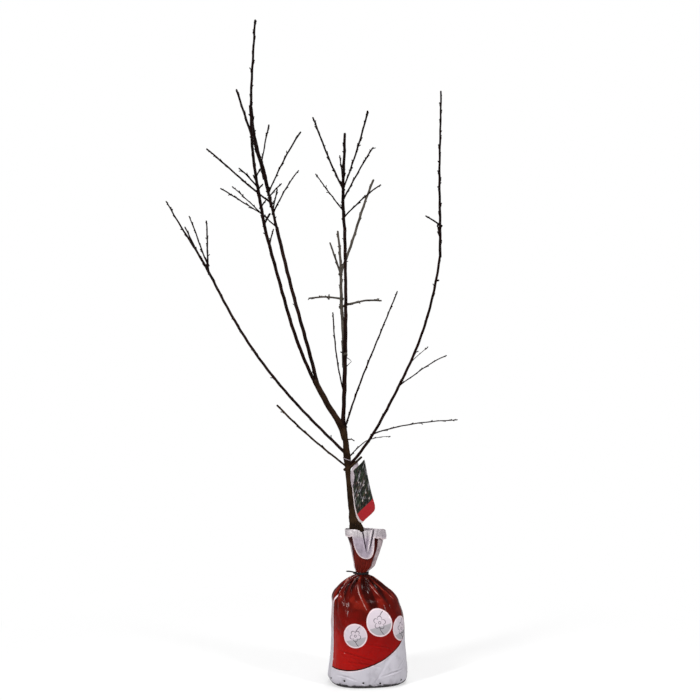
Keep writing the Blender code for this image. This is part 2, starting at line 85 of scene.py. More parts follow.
BOUGHS = {
    "bough_twin_base": Limb(
        "trunk", TIP, 0.130, (-40, -36, -29, -28, -28), -2, 0.0140, 0.0122, girth=(1.00, 1.08)
    ),
    "bough_twin_left": Limb(
        "bough_twin_base", TIP, 0.387, (-26, -20, -15, -15, -14), -12, 0.0072, 0.0062, -0.0022, (1.10, 1.08)
    ),
    "bough_twin_right": Limb(
        "bough_twin_base", TIP, 0.394, (-14, -16, -16, -14, -14), 10, 0.0078, 0.0064, 0.0032, (1.10, 1.20)
    ),
    "bough_left": Limb(
        "trunk", 0.5445, 0.575, (-48, -45, -39, -32, -27), 16, 0.0078, 0.0052, girth=(0.84, 1.02)
    ),
    "bough_right": Limb("trunk", 0.5120, 0.568, (41, 28, 25, 15, 6), -13, 0.0078, 0.0054, girth=(0.88, 0.86)),
    "bough_centre": Limb(
        "bough_twin_base", 0.616, 0.473, (3, 1, 1, -1, -1), 2, 0.0088, 0.0066, 0.0040,
        (1.00, 1.20, 1.25, 1.05, 1.00, 1.12),
    ),
    "bough_back": Limb("bough_centre", 0.786, 0.116, (-8, -3, -4), 26, 0.0056, 0.0050, girth=(1.20, 1.25)),
    "twig_twin_left": Limb("bough_twin_left", 1.038, 0.047, (11, 11), 30, 0.0026, 0.0022),
    "twig_long_right": Limb("trunk", 0.600, 0.368, (16, 22, 22), -17, 0.0032, 0.0020, girth=(1.08, 1.12)),
    "twig_low_left": Limb("trunk", 0.513, 0.233, (-52, -48, -42), -15, 0.0036, 0.0028, girth=(0.98, 1.22)),
    "twig_low_right": Limb("trunk", 0.532, 0.136, (45, 46, 80, 91), 26, 0.0030, 0.0024, girth=(0.80, 0.40)),
    "cut_stub": Limb("trunk", 0.508, 0.050, (50, 42), -28, 0.0048, 0.0040),
    "twig_inner": Limb("bough_centre", 0.690, 0.199, (-15, -7, -2), -12, 0.0030, 0.0022, girth=(0.85, 1.05)),
    "twig_side_right": Limb(
        "bough_right", 0.594, 0.208, (69, 77, 83, 87), -16, 0.0028, 0.0019, girth=(0.85, 0.92)
    ),
    "twig_mid_right": Limb("bough_right", 0.709, 0.140, (55, 55, 67), 14, 0.0030, 0.0022, girth=(0.65, 0.90)),
    "twig_far_right": Limb("bough_right", 0.761, 0.074, (44, 54), 35, 0.0026, 0.0022, girth=(0.55, 0.45)),
}

CROWNS = {
    "crown_left": {
        "stem": Limb("bough_left", TIP, 0.250, (-29, -34, -30), 14, 0.0048, 0.0030, girth=(1.20, 0.80)),
        "inner": Limb("stem", 0.991, 0.146, (-8, -3, -6), 20, 0.0036, 0.0026, girth=(0.92, 1.0)),
        "middle": Limb("inner", 1.012, 0.130, (-24, -17, -23), -12, 0.0032, 0.0026, girth=(0.95, 0.86)),
        "outer": Limb("stem", 1.039, 0.100, (-29, -29), 32, 0.0030, 0.0026),
    },
    "crown_twin_left": {
        "stem": Limb(
            "bough_twin_left", TIP, 0.476, (-10, -9, -1, 4, 4), -8, 0.0058, 0.0030, girth=(1.12, 1.10)
        ),
        "low_back": Limb("stem", 1.085, 0.035, (25, 25), 30, 0.0026, 0.0022),
        "low_front": Limb("stem", 1.126, 0.020, (41, 41), -30, 0.0026, 0.0022),
        "mid_front": Limb("stem", 1.165, 0.019, (46, 46), -35, 0.0026, 0.0022),
        "side": Limb("stem", 1.171, 0.062, (-40, -51), -25, 0.0030, 0.0024),
        "side_back": Limb("stem", 1.181, 0.024, (-26, -26), 30, 0.0026, 0.0022),
        "high_back": Limb("stem", 1.193, 0.028, (21, 21), 35, 0.0026, 0.0022),
    },
    "crown_twin_right": {
        "stem": Limb(
            "bough_twin_right", TIP, 0.383, (-13, -15, -19, -18), 11, 0.0060, 0.0030, girth=(1.00, 1.24)
        ),
        "strand": Limb("stem", 1.222, 0.176, (-13, -13, -5), -10, 0.0048, 0.0028, girth=(1.30, 1.40)),
        "upright": Limb("stem", 1.249, 0.117, (7, 8, 12), 18, 0.0028, 0.0024, girth=(0.78, 1.15)),
        "right": Limb("stem", 1.180, 0.171, (24, 29, 36), -16, 0.0032, 0.0026, girth=(0.80, 1.15)),
        "right_short": Limb("stem", 1.172, 0.053, (34, 42), 30, 0.0028, 0.0024, girth=(0.85, 0.90)),
        "right_low": Limb("stem", 1.131, 0.122, (27, 31, 41), -14, 0.0030, 0.0026, girth=(0.95, 0.78)),
        "right_back": Limb("stem", 1.135, 0.070, (7, 10), 30, 0.0028, 0.0024),
        "left_long": Limb("stem", 1.158, 0.206, (-54, -48, -50), 2, 0.0032, 0.0026, girth=(1.10, 1.15)),
        "left_low": Limb("stem", 1.096, 0.157, (-48, -46, -48), 14, 0.0034, 0.0026, girth=(0.75, 0.75)),
        "left_back": Limb("left_low", 1.132, 0.158, (-58, -55, -57), 34, 0.0030, 0.0026, girth=(0.78, 1.0)),
    },
    "crown_centre": {
        "stem": Limb("bough_centre", TIP, 0.229, (-6, 0, 3, 0), -3, 0.0062, 0.0032, girth=(1.10, 1.38)),
        "right_low": Limb("stem", 1.113, 0.121, (45, 48, 59), -16, 0.0030, 0.0026, girth=(0.90, 0.92)),
        "left_low": Limb("stem", 1.130, 0.117, (-41, -37), -28, 0.0030, 0.0026, girth=(0.84, 0.70)),
        "right_back": Limb("stem", 1.154, 0.177, (26, 27, 31), 26, 0.0032, 0.0026),
        "right_high": Limb("stem", 1.180, 0.198, (22, 19, 14), -22, 0.0032, 0.0026, girth=(0.88, 1.26)),
        "left_high": Limb("stem", 1.183, 0.202, (-27, -21, -20), 14, 0.0032, 0.0026, girth=(1.12, 1.15)),
        "back": Limb("stem", 1.197, 0.091, (-5, -8), 35, 0.0026, 0.0022),
    },
    "crown_back": {
        "stem": Limb("bough_back", TIP, 0.222, (-2, -1, -8), 22, 0.0052, 0.0032, girth=(1.32, 1.12)),
        "spur_right": Limb("stem", 0.900, 0.112, (70, 78, 97), 25, 0.0037, 0.0029, girth=(1.15, 1.0)),
        "spur_left": Limb("stem", 0.920, 0.081, (-77, -89, -100), 10, 0.0037, 0.0029),
        "left": Limb("stem", 0.984, 0.104, (-19, -18), 35, 0.0042, 0.0030),
        "right": Limb("stem", 0.985, 0.299, (21, 16, 21), 28, 0.0047, 0.0032, girth=(1.16, 1.25)),
    },
    "crown_right": {
        "stem": Limb("bough_right", TIP, 0.366, (0, -2, 1, 0), -9, 0.0050, 0.0030, girth=(1.05, 0.92)),
        "back": Limb("stem", 1.048, 0.040, (-8, -7), 30, 0.0026, 0.0022),
        "left": Limb("stem", 1.079, 0.042, (-55, -67), -25, 0.0028, 0.0024),
    },
}

# Small side twigs that the solids leave out, on a bough or in a mass
EXTRAS = {
    "trunk_knob": Limb("trunk", 0.5060, 0.0088, (-76, -84), -10, 0.0044, 0.0036),
    "fork_web": Limb("trunk", 0.5790, 0.0700, (-16, -27, -31), -2, 0.0092, 0.0070, -0.0018),
    "trunk_curl": Limb("trunk", 0.5780, 0.0225, (76, 84, 98, 138), 4, 0.0019, 0.0013),
    "centre_vee_low": Limb("bough_centre", 0.7500, 0.0240, (42, 46), -18, 0.0012, 0.0010),
    "centre_vee_high": Limb("bough_centre", 0.7780, 0.0200, (118, 128), -30, 0.0011, 0.0009),
    "centre_spur": Limb("bough_centre", 0.7860, 0.0125, (-75, -70), -25, 0.0020, 0.0016),
    "right_spur": Limb("bough_right", 0.9530, 0.0066, (80, 82), -10, 0.0024, 0.0020),
}
CROWN_EXTRAS = {
    "crown_twin_right": {
        "right_tiny": Limb("stem", 1.150, 0.0120, (39, 39), 20, 0.0020, 0.0016),
        "left_tiny": Limb("left_low", 1.118, 0.0150, (34, 34), -25, 0.0020, 0.0016),
        "side": Limb("stem", 1.190, 0.076, (-9, -14, -18), -8, 0.0038, 0.0046, 0.0028),
        "upper_side": Limb("strand", 1.330, 0.060, (-5, -4, -3), -6, 0.0038, 0.0024, 0.0012),
    },
    "crown_back": {
        "spur_left_knob": Limb("spur_left", 0.924, 0.0070, (5, 5), -10, 0.0024, 0.0018),
    },
}

# Where the grey limb lies along the central bough before it leaves it
BACK_RIDGE = Limb("bough_centre", 0.7520, 0.0640, (-3, -2, -3), 3, 0.0040, 0.0048, -0.0030)
RIDGE_PARENT = 0.002
RIDGE_FORWARD = 0.0014

# The spurs that the solids bear
SPUR_STEP = 0.055
SPUR_FIRST = (0.4, 0.9)
SPUR_VARIES = (0.7, 1.3)
SPUR_LENGTH = 0.0058
SPUR_RADII = (0.00145, 0.00115)
SPUR_SCARS = (0.16, 6, 12)  # how far the rings of old scars stand out, half turns of them, and steps
SPUR_OPENING = math.radians(42)
SPUR_CLEARANCE = 0.006
SPACE_MARGIN = 0.006
GOLDEN_ANGLE = math.radians(137.5)

# Bark meshes: how far apart their rings stand and how many sides they have, by girth
FINE_STEP = {"trunk": 0.0011, "bough": 0.0016, "twig": 0.0020}
FINE_SIDES = {"trunk": 64, "bough": 22, "twig": 10}
BOUGH_GIRTH = 0.0045
SINK = 0.006  # how far a limb's mesh goes on back into the one that carries it
FULLER = (1.40, 1.04)  # how much fuller the bark is than the solid in it, on twigs and on boughs
FULLER_GIRTHS = (0.0030, 0.0072)
FLARE = {"bough": 0.36, "twig": 0.34}  # how much wider a limb is where it leaves its parent
FLARE_LONG = 1.1  # and over what length, in girths
DOME = (25, 50, 72, 86)  # degrees round a limb's rounded end
DOME_SHORT = 0.7
RELIEF = 0.045  # lumps in the bark, as a share of the radius
TRUNK_RELIEF = 0.105
# Parts of that relief: how fine they are across and upwards, and how high each of the three is
LUMPS, STREAKS, LENTICELS = (70.0, 70.0), (420.0, 90.0), (260.0, 1100.0)
GRAIN_HEIGHTS = (0.9, 0.35, 1.3)
LENTICELS_FROM = 0.25
EXTRA_RELIEF = 0.060
EXTRA_STEP = 0.005
EXTRA_PARENT = 0.004

# Buds: between them, how their sizes and turns vary, and the bare end of a limb
NODE_STEP = 0.0175
NODE_FIRST = (0.3, 0.9)
NODE_VARIES = (0.75, 1.30)
BUD_VARIES = (0.75, 1.2)
TURN_VARIES = (-0.3, 0.3)
NODELESS = 0.005
CUSHION = 0.00110  # the swelling under a bud
CUSHION_LONG = 0.0030
Budded = namedtuple("Budded", "cushion bud first")  # scales, and how far out the first bud may stand
ON_BOUGH = Budded(0.50, 0.72, 0.006)
ON_TWIG = Budded(1.0, 1.0, 0.006)
IN_CROWN = Budded(1.35, 1.20, 0.004)
BUD_COUNTS = {"bough_twin_base": 3, "cut_stub": 1}
BUD_LONG = 0.0038
BUD_THICK = 0.0028
BUD_HOOK = 0.10
BUD_SIDES = 7
BUD_PROFILE = ((0.00, 0.55), (0.14, 0.88), (0.34, 1.00), (0.56, 0.86), (0.76, 0.58), (0.92, 0.24))
BUD_OPENING = math.radians(29)
BUD_SEAT = 0.82  # a bud's foot, as a share of the radius
BUDDED_FROM = 0.0018  # a thinner one of the small side twigs ends without a bud
FULL_BUD_RADIUS = 0.0013  # a thinner twig bears smaller buds, none of them on spurs
TIP_BUDS = (0.0030, 0.0062, 0.0098)  # how far back from a twig's tip its last buds stand
TIP_BUD_OUT = 0.45
TIP_BUD_SEAT = 0.8
TIP_BUD_SIZE = (1.15, 2.7)  # at least, and by the tip's radius
SPURRED_SHARE = 0.14  # of the buds that stand on a short knobbly spur
KNOB_LONG = 0.0034
KNOB_RADIUS = 0.00130
KNOB_SCARS = (0.24, 5, 6)
KNOB_BUDS = (0.95, 0.75)  # the size of the bud at a spur's end, and of those beside it
KNOB_SEAT = 0.9  # how far out the end's bud sits, as a share of the spur
KNOB_SIDE_BACK = 0.0006  # how far back from there the others sit
KNOB_SIDE_OUT = 0.75  # and how far they lean out
SPUR_BUD = 0.8
SPUR_BUD_BACK = 0.0008


# Shared shape rules, as in the solids


def evened(values, along):
    """The value this far (0 to 1) along values that stand at even steps."""
    if not isinstance(values, tuple):
        return values
    place = min(max(along, 0.0), 1.0) * (len(values) - 1)
    low = min(int(place), len(values) - 2)
    return values[low] + (values[low + 1] - values[low]) * (place - low)


def shares(count):
    """From 0 to 1 in even steps."""
    return [k / count for k in range(count + 1)]


def direction(lean, depth):
    """The unit vector of this lean towards +X and this turn back towards +Y, in degrees."""
    lean, depth = math.radians(lean), math.radians(depth)
    return Vector(
        (math.sin(lean) * math.cos(depth), math.sin(depth), math.cos(lean) * math.cos(depth))
    )


def turned(first, second, turn):
    """The first direction turned towards the second."""
    return first * math.cos(turn) + second * math.sin(turn)


def grow(foot, limb, step, seed):
    """The limb's centre line from its foot: points about one step apart."""
    rng = random.Random(seed)
    steps = max(2, round(limb.length / step))
    points = [foot.copy()]
    for i in range(steps):
        lean = evened(limb.leans, (i + 0.5) / steps) + (KINK if i % 2 else -KINK)
        depth = limb.depth + rng.uniform(-KINK, KINK)
        points.append(points[-1] + direction(lean, depth) * (limb.length / steps))
    return points


def point_at_height(points, height):
    """Where a rising centre line passes this height."""
    for low, high in zip(points, points[1:]):
        if low.z <= height <= high.z:
            return low.lerp(high, (height - low.z) / (high.z - low.z))
    return points[-1] if height > points[-1].z else points[0]


def foot_on(limb, lines):
    """Where this limb starts, inside the one that carries it."""
    line = lines[limb.parent]
    aside = Vector((limb.aside, 0.0, 0.0))
    if limb.height is not TIP:
        return point_at_height(line, limb.height) + aside
    return line[-1] - (line[-1] - line[-2]).normalized() * OVERLAP + aside


def swell(bulge, height):
    """How much a bulge adds at this height."""
    return bulge.size * math.exp(-(((height - bulge.height) / bulge.spread) ** 2))


def spurs_along(line, seed):
    """The spurs of one twig by a seeded rule, each turned on from the last."""
    rng = random.Random(seed)
    turn = rng.uniform(0.0, 2 * math.pi)
    spurs = []
    ahead = SPUR_STEP * rng.uniform(*SPUR_FIRST)
    for low, high in zip(line, line[1:]):
        span = (high - low).length
        heading = (high - low).normalized()
        across = heading.orthogonal().normalized()
        while ahead < span:
            turn += GOLDEN_ANGLE
            out = turned(across, heading.cross(across), turn)
            foot = low + heading * ahead
            length = SPUR_LENGTH * rng.uniform(*SPUR_VARIES)
            spurs.append([foot, foot + turned(heading, out, SPUR_OPENING) * length])
            ahead += SPUR_STEP * rng.uniform(*SPUR_VARIES)
        ahead -= span
    return spurs


def near_line(point, line, distance):
    """Whether a centre line passes this near to a point."""
    for low, high in zip(line, line[1:]):
        run = high - low
        along = min(max((point - low).dot(run) / run.length_squared, 0.0), 1.0)
        if (low + run * along - point).length < distance:
            return True
    return False


def kept_spurs(spurs, own_lines, others):
    """The spurs, each with its twig's name, that stay in their mass's space, clear of other limbs."""
    points = [point for line in own_lines.values() for point in line]
    low = [min(p[axis] for p in points) - SPACE_MARGIN for axis in range(3)]
    high = [max(p[axis] for p in points) + SPACE_MARGIN for axis in range(3)]
    kept = []
    for name, line in spurs:
        inside = all(low[axis] < line[-1][axis] < high[axis] for axis in range(3))
        rivals = [other for own, other in own_lines.items() if own != name] + others
        if inside and not any(near_line(line[-1], rival, SPUR_CLEARANCE) for rival in rivals):
            kept.append(line)
    return kept


# Meshes


class Shape:
    """Vertices and faces gathered for one piece."""

    def __init__(self):
        self.verts = []
        self.faces = []

    def add_rings(self, rings, capped=True):
        """Skins rings of points, each as long as the next, and closes the ends with flat faces."""
        start = len(self.verts)
        sides = len(rings[0])
        for ring in rings:
            self.verts.extend(ring)
        last = len(self.verts) - sides
        for base in range(start, last, sides):
            for k in range(sides):
                j = (k + 1) % sides
                self.faces.append((base + k, base + j, base + sides + j, base + sides + k))
        if capped:
            self.faces.append(tuple(start + k for k in reversed(range(sides))))
            self.faces.append(tuple(last + k for k in range(sides)))

    def make(self, name, *materials, smooth=True):
        mesh = bpy.data.meshes.new(name)
        mesh.from_pydata(self.verts, [], self.faces)
        for mat in materials:
            mesh.materials.append(mat)
        if smooth:
            mesh.shade_smooth()
        mesh.update()
        obj = bpy.data.objects.new(name, mesh)
        bpy.context.scene.collection.objects.link(obj)
        return obj


def store(obj, name, values, domain="POINT"):
    """Keeps a number or three of them for each point or corner of a mesh."""
    if isinstance(values[0], tuple):
        layer = obj.data.attributes.new(name, "FLOAT_VECTOR", domain)
        layer.data.foreach_set("vector", [number for value in values for number in value])
    else:
        obj.data.attributes.new(name, "FLOAT", domain).data.foreach_set("value", values)


def ride_root(obj, slot, *nodes):
    """Every piece rides on the one body, and stands for its nodes."""
    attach(obj, "root")
    if nodes:
        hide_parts(*nodes)


def smooth(value):
    """From 0 to 1 without a corner."""
    value = min(max(value, 0.0), 1.0)
    return value * value * (3 - 2 * value)


def curved(a, b, c, d, t):
    """What lies at t from b to c, on a smooth curve that comes from a and goes on to d."""
    bent = (a * 2 - b * 5 + c * 4 - d) * t * t
    return (b * 2 + (c - a) * t + bent + (b * 3 - a - c * 3 + d) * t * t * t) * 0.5


def smooth_line(points, step):
    """A smooth curve through these points, with points about one step apart along it."""
    ends = [points[0] * 2 - points[1], *points, points[-1] * 2 - points[-2]]
    fine = []
    for a, b, c, d in zip(ends, ends[1:], ends[2:], ends[3:]):
        count = max(1, round((c - b).length / step))
        fine += [curved(a, b, c, d, i / count) for i in range(count)]
    return fine + [points[-1].copy()]


def frames_along(line):
    """A heading and two directions across it at each point of a line, without twist."""
    across = FRONT
    frames = []
    for i in range(len(line)):
        heading = (line[min(i + 1, len(line) - 1)] - line[max(i - 1, 0)]).normalized()
        if abs(across.dot(heading)) > 0.99:
            across = heading.orthogonal()
        across = (across - heading * across.dot(heading)).normalized()
        frames.append((heading, across, heading.cross(across)))
    return frames


def lengths_along(line):
    """How far along a line each of its points is."""
    lengths = [0.0]
    for low, high in zip(line, line[1:]):
        lengths.append(lengths[-1] + (high - low).length)
    return lengths


def grain(point, level, upright):
    """Noise as fine as this across and as this upwards."""
    return noise.noise(Vector((point.x * level, point.y * level, point.z * upright)))


def bark_relief(point):
    """Lumps, upright streaks and small level lenticels, from about -1 to 1."""
    lumps, streaks, lenticels = GRAIN_HEIGHTS
    raised = max(grain(point, *LENTICELS) - LENTICELS_FROM, 0.0)
    return grain(point, *LUMPS) * lumps + grain(point, *STREAKS) * streaks + raised * lenticels


def circle(middle, across, up, radius, sides):
    """Points round a middle."""
    return [middle + turned(across, up, 2 * math.pi * k / sides) * radius for k in range(sides)]


Node = namedtuple("Node", "at turn size spurred")


def nodes_along(length, start, seed):
    """Where the buds stand on a limb of this length, each turned on from the last."""
    rng = random.Random("buds " + seed)
    turn = rng.uniform(0.0, 2 * math.pi)
    at = start + NODE_STEP * rng.uniform(*NODE_FIRST)
    nodes = []
    while at < length - NODELESS:
        spurred = rng.random() < SPURRED_SHARE
        nodes.append(Node(at, turn, rng.uniform(*BUD_VARIES), spurred))
        turn += GOLDEN_ANGLE + rng.uniform(*TURN_VARIES)
        at += NODE_STEP * rng.uniform(*NODE_VARIES)
    return nodes


def add_limb(shape, line, radius_at, kind, nodes=(), cushion=CUSHION, relief=RELIEF, lobe=None):
    """A limb's bark: a tube with lumps, lenticels and a cushion under each bud, rounded at its end."""
    fine = smooth_line(line, FINE_STEP[kind])
    sides = FINE_SIDES[kind]
    lengths = lengths_along(fine)
    frames = frames_along(fine)
    rings = []
    for point, at, (_, across, up) in zip(fine, lengths, frames):
        radius = radius_at(at, point)
        near = [n for n in nodes if abs(n.at - at) < 2.5 * CUSHION_LONG]
        ring = []
        for k in range(sides):
            turn = 2 * math.pi * k / sides
            out = turned(across, up, turn)
            grown = radius * (1.0 + relief * bark_relief(point + out * radius))
            if lobe:
                grown *= lobe(out, point.z)
            for node in near:
                facing = max(0.0, math.cos(turn - node.turn)) ** 3
                away = (at - node.at + CUSHION_LONG * 0.5) / CUSHION_LONG
                grown += cushion * node.size * facing * math.exp(-away * away)
            ring.append(point + out * grown)
        rings.append(ring)
    heading, across, up = frames[-1]
    radius = radius_at(lengths[-1], fine[-1])
    for angle in map(math.radians, DOME):
        middle = fine[-1] + heading * (radius * DOME_SHORT * math.sin(angle))
        rings.append(circle(middle, across, up, radius * math.cos(angle), sides))
    shape.add_rings(rings)
    return fine, lengths, frames


def add_bud(shape, base, way, side, size):
    """A pointed bud with a blunt foot: egg-shaped, a little hooked towards the twig."""
    up = way.cross(side).normalized()
    long = BUD_LONG * size
    rings = []
    for along, width in BUD_PROFILE:
        middle = base + way * (long * along) + side * (long * BUD_HOOK * along * along)
        rings.append(circle(middle, side, up, BUD_THICK / 2 * size * width, BUD_SIDES))
    shape.add_rings(rings)


def add_knobbly(shape, foot, way, across, up, length, radii, scars):
    """A short spur with the rings of old scars along it."""
    swells, waves, steps = scars
    rings = []
    for along in shares(steps):
        radius = evened(radii, along) * (1.0 + swells * math.cos(along * waves * math.pi))
        rings.append(circle(foot + way * (length * along), across, up, radius, 8))
    shape.add_rings(rings)


def add_buds(wood, buds, course, nodes, radius_at, scale):
    """The buds of a limb, some of them in twos and threes on a short knobbly spur."""
    fine, lengths, frames = course
    rng = random.Random(len(fine))
    index = 0
    for node in nodes:
        while index < len(lengths) - 1 and lengths[index] < node.at:
            index += 1
        heading, across, up = frames[index]
        out = turned(across, up, node.turn)
        side = heading.cross(out).normalized()
        radius = radius_at(node.at, fine[index])
        base = fine[index] + out * (radius * BUD_SEAT)
        if not node.spurred or radius < FULL_BUD_RADIUS:
            way = turned(heading, out, BUD_OPENING)
            add_bud(buds, base, way, side, node.size * scale * min(1.0, radius / FULL_BUD_RADIUS))
            continue
        rise = turned(heading, out, SPUR_OPENING)
        knob = KNOB_LONG * node.size
        add_knobbly(wood, base, rise, side, out, knob, KNOB_RADIUS * node.size, KNOB_SCARS)
        tip = base + rise * (knob * KNOB_SEAT)
        add_bud(buds, tip, rise, side, node.size * KNOB_BUDS[0])
        for turn in (1.0, -1.0)[: rng.randint(1, 2)]:
            way = (rise + side * (KNOB_SIDE_OUT * turn)).normalized()
            add_bud(buds, tip - rise * KNOB_SIDE_BACK, way, out, node.size * KNOB_BUDS[1])


def add_tip_bud(buds, course, radius):
    """The bud that ends a twig, and those gathered below it."""
    fine, _, frames = course
    heading, across, up = frames[-1]
    size = max(TIP_BUD_SIZE[0], radius * TIP_BUD_SIZE[1] / BUD_THICK)
    add_bud(buds, fine[-1] - heading * TIP_BUDS[0], heading, across, size)
    for number, back in enumerate(TIP_BUDS[1:]):
        out = turned(across, up, number * GOLDEN_ANGLE + len(fine))
        way = (heading + out * TIP_BUD_OUT).normalized()
        base = fine[-1] - heading * back + out * (radius * TIP_BUD_SEAT)
        add_bud(buds, base, way, heading.cross(out).normalized(), 1.0)


def limb_radius(limb, parent_radius):
    """A limb's radius by its way along: its taper, with a flare at its foot."""

    def radius_at(at, _point):
        past = at - SINK
        along = min(max(past / limb.length, 0.0), 1.0)
        thick = evened((limb.thick, limb.thin), along)
        share = (thick - FULLER_GIRTHS[0]) / (FULLER_GIRTHS[1] - FULLER_GIRTHS[0])
        radius = thick / 2 * evened(FULLER, share) * evened(limb.girth, along)
        if limb.height is TIP:
            return radius
        clear = max(past - parent_radius, 0.0)
        return radius * (1.0 + FLARE[kind_of(limb)] * math.exp(-clear / (limb.thick * FLARE_LONG)))

    return radius_at


def trunk_radius(at, point):
    """The trunk's radius: its taper with the graft, the waist and the lower fork."""
    plain = evened((TRUNK.thick, TRUNK.thin), at / TRUNK.length) / 2
    return plain + sum(swell(form, point.z) for form in (GRAFT, WAIST, LOW_FORK)) / 2


def graft_lobe(out, height):
    """How far the graft bulges this way."""
    return 1.0 + swell(GRAFT_LOBE, height) * max(out.x, 0.0) ** 2


def kind_of(limb):
    return "bough" if limb.thick > BOUGH_GIRTH else "twig"


# Materials


class Value:
    """What a node gives out. Arithmetic with it adds nodes to its graph."""

    def __init__(self, graph, socket):
        self.graph = graph
        self.socket = socket

    def __add__(self, other):
        return self.graph.math("ADD", self, other)

    def __sub__(self, other):
        return self.graph.math("SUBTRACT", self, other)

    def __mul__(self, other):
        return self.graph.math("MULTIPLY", self, other)

    def __pow__(self, other):
        return self.graph.math("POWER", self, other)

    def __abs__(self):
        return self.graph.math("ABSOLUTE", self)

    def step(self, start, end, low=0.0, high=1.0):
        """Softly from low to high, while this goes from start to end."""
        keys = ("Value", "From Min", "From Max", "To Min", "To Max")
        inputs = dict(zip(keys, (self, start, end, low, high)))
        return self.graph.node("MapRange", inputs, interpolation_type="SMOOTHSTEP")

    def band(self, middle, half, soft):
        """1 where this is within half of middle, 0 outside."""
        return abs(self - middle).step(half - soft, half + soft, 1.0, 0.0)

    def ramp(self, *stops):
        """A colour ramp: stops of (position, colour)."""
        colour = self.graph.node("ValToRGB", {0: self})
        elements = colour.socket.node.color_ramp.elements
        while len(elements) < len(stops):
            elements.new(1.0)
        for element, (position, shade) in zip(elements, stops):
            element.position = position
            element.color = (*shade, 1.0)
        return colour


class Graph:
    """Short ways to add nodes to a material or a world."""

    def __init__(self, owner):
        owner.use_nodes = True
        self.owner = owner
        self.tree = owner.node_tree

    def put(self, socket, value):
        """Links or sets an input."""
        if isinstance(value, Value):
            self.tree.links.new(value.socket, socket)
        else:
            is_colour = isinstance(value, tuple) and socket.type == "RGBA"
            socket.default_value = (*value, 1.0) if is_colour else value

    def node(self, kind, inputs=None, output=0, **settings):
        """Adds a node with these inputs, and gives what comes out of it."""
        node = self.tree.nodes.new("ShaderNode" + kind)
        for key, value in settings.items():
            setattr(node, key, value)
        for key, value in (inputs or {}).items():
            self.put(node.inputs[key], value)
        return Value(self, node.outputs[output])

    def math(self, operation, *values):
        return self.node("Math", dict(enumerate(values)), operation=operation)

    def most(self, first, *others):
        for other in others:
            first = self.math("MAXIMUM", first, other)
        return first

    def away(self, x, z):
        """How far off a point this far across and up is."""
        return self.math("SQRT", x * x + z * z)

    def petals(self, x, z, turn=0.0):
        """From 0 to 1 and back five times on the way round."""
        angle = self.math("ARCTAN2", z, x)
        return abs(self.math("COSINE", (angle + turn if turn else angle) * 2.5))

    def mix(self, factor, first, second):
        """The first colour where factor is 0 and the second where it is 1."""
        return self.node("MixRGB", {0: factor, 1: first, 2: second})

    def place(self):
        return self.node("TexCoord", output="Object")

    def seen(self):
        return self.node("LightPath", output="Is Camera Ray")

    def stored(self, name):
        """A number kept on the mesh."""
        return self.node("Attribute", output="Fac", attribute_name=name)

    def parts(self, vector):
        return [self.node("SeparateXYZ", {0: vector}, output=axis) for axis in "XYZ"]

    def film(self):
        """Where a point is on the flat film."""
        return self.parts(self.node("Attribute", output="Vector", attribute_name="film"))

    def noise(self, scale, detail=3.0, roughness=0.5, stretch=None, vector=None):
        """Noise in the object's own space, finer or coarser upwards by the stretch."""
        vector = vector or self.place()
        if stretch:
            vector = self.node("Mapping", {"Vector": vector, "Scale": (1.0, 1.0, stretch)})
        inputs = {"Vector": vector, "Scale": scale, "Detail": detail, "Roughness": roughness}
        return self.node("TexNoise", inputs)


class Surface(Graph):
    """A new material."""

    def __init__(self, name, roughness, specular):
        super().__init__(bpy.data.materials.new(name))
        self.shader = self.tree.nodes["Principled BSDF"].inputs
        self.put(self.shader["Roughness"], roughness)
        self.put(self.shader["Specular IOR Level"], specular)

    def made(self, colour, height=None, distance=0.0, strength=1.0):
        """The material in this colour, with this relief."""
        self.put(self.shader["Base Color"], colour)
        if height:
            bump = {"Height": height, "Distance": distance, "Strength": strength}
            self.put(self.shader["Normal"], self.node("Bump", bump))
        return self.owner


BARK_ROUGHNESS = 0.72


def bark_material(name, dark, light, lenticel):
    """Bark: upright streaks from dark to light, small level lenticels, and a fine grain in relief."""
    g = Surface(name, BARK_ROUGHNESS, 0.05)
    streaks = g.noise(620.0, 4.0, 0.65, stretch=0.14)
    both = g.noise(38.0, 4.0, 0.6) * 0.55 + streaks * 0.45
    marks = g.noise(330.0, 2.0, stretch=4.5).step(0.64, 0.72)
    g.put(g.shader["Roughness"], streaks.step(0.3, 0.8, BARK_ROUGHNESS - 0.14, BARK_ROUGHNESS + 0.1))
    colour = g.mix(marks * 0.75, both.ramp((0.36, dark), (0.66, light)), lenticel)
    return g.made(colour, streaks * 0.7 + marks * 0.6, 0.0004, 0.8)


def bud_material(name, dark, light):
    """Bud scales: dark brown with paler edges."""
    g = Surface(name, 0.6, 0.08)
    scales = g.noise(1500.0, 2.0)
    return g.made(scales.ramp((0.35, dark), (0.68, light)), scales, 0.0002, 0.7)


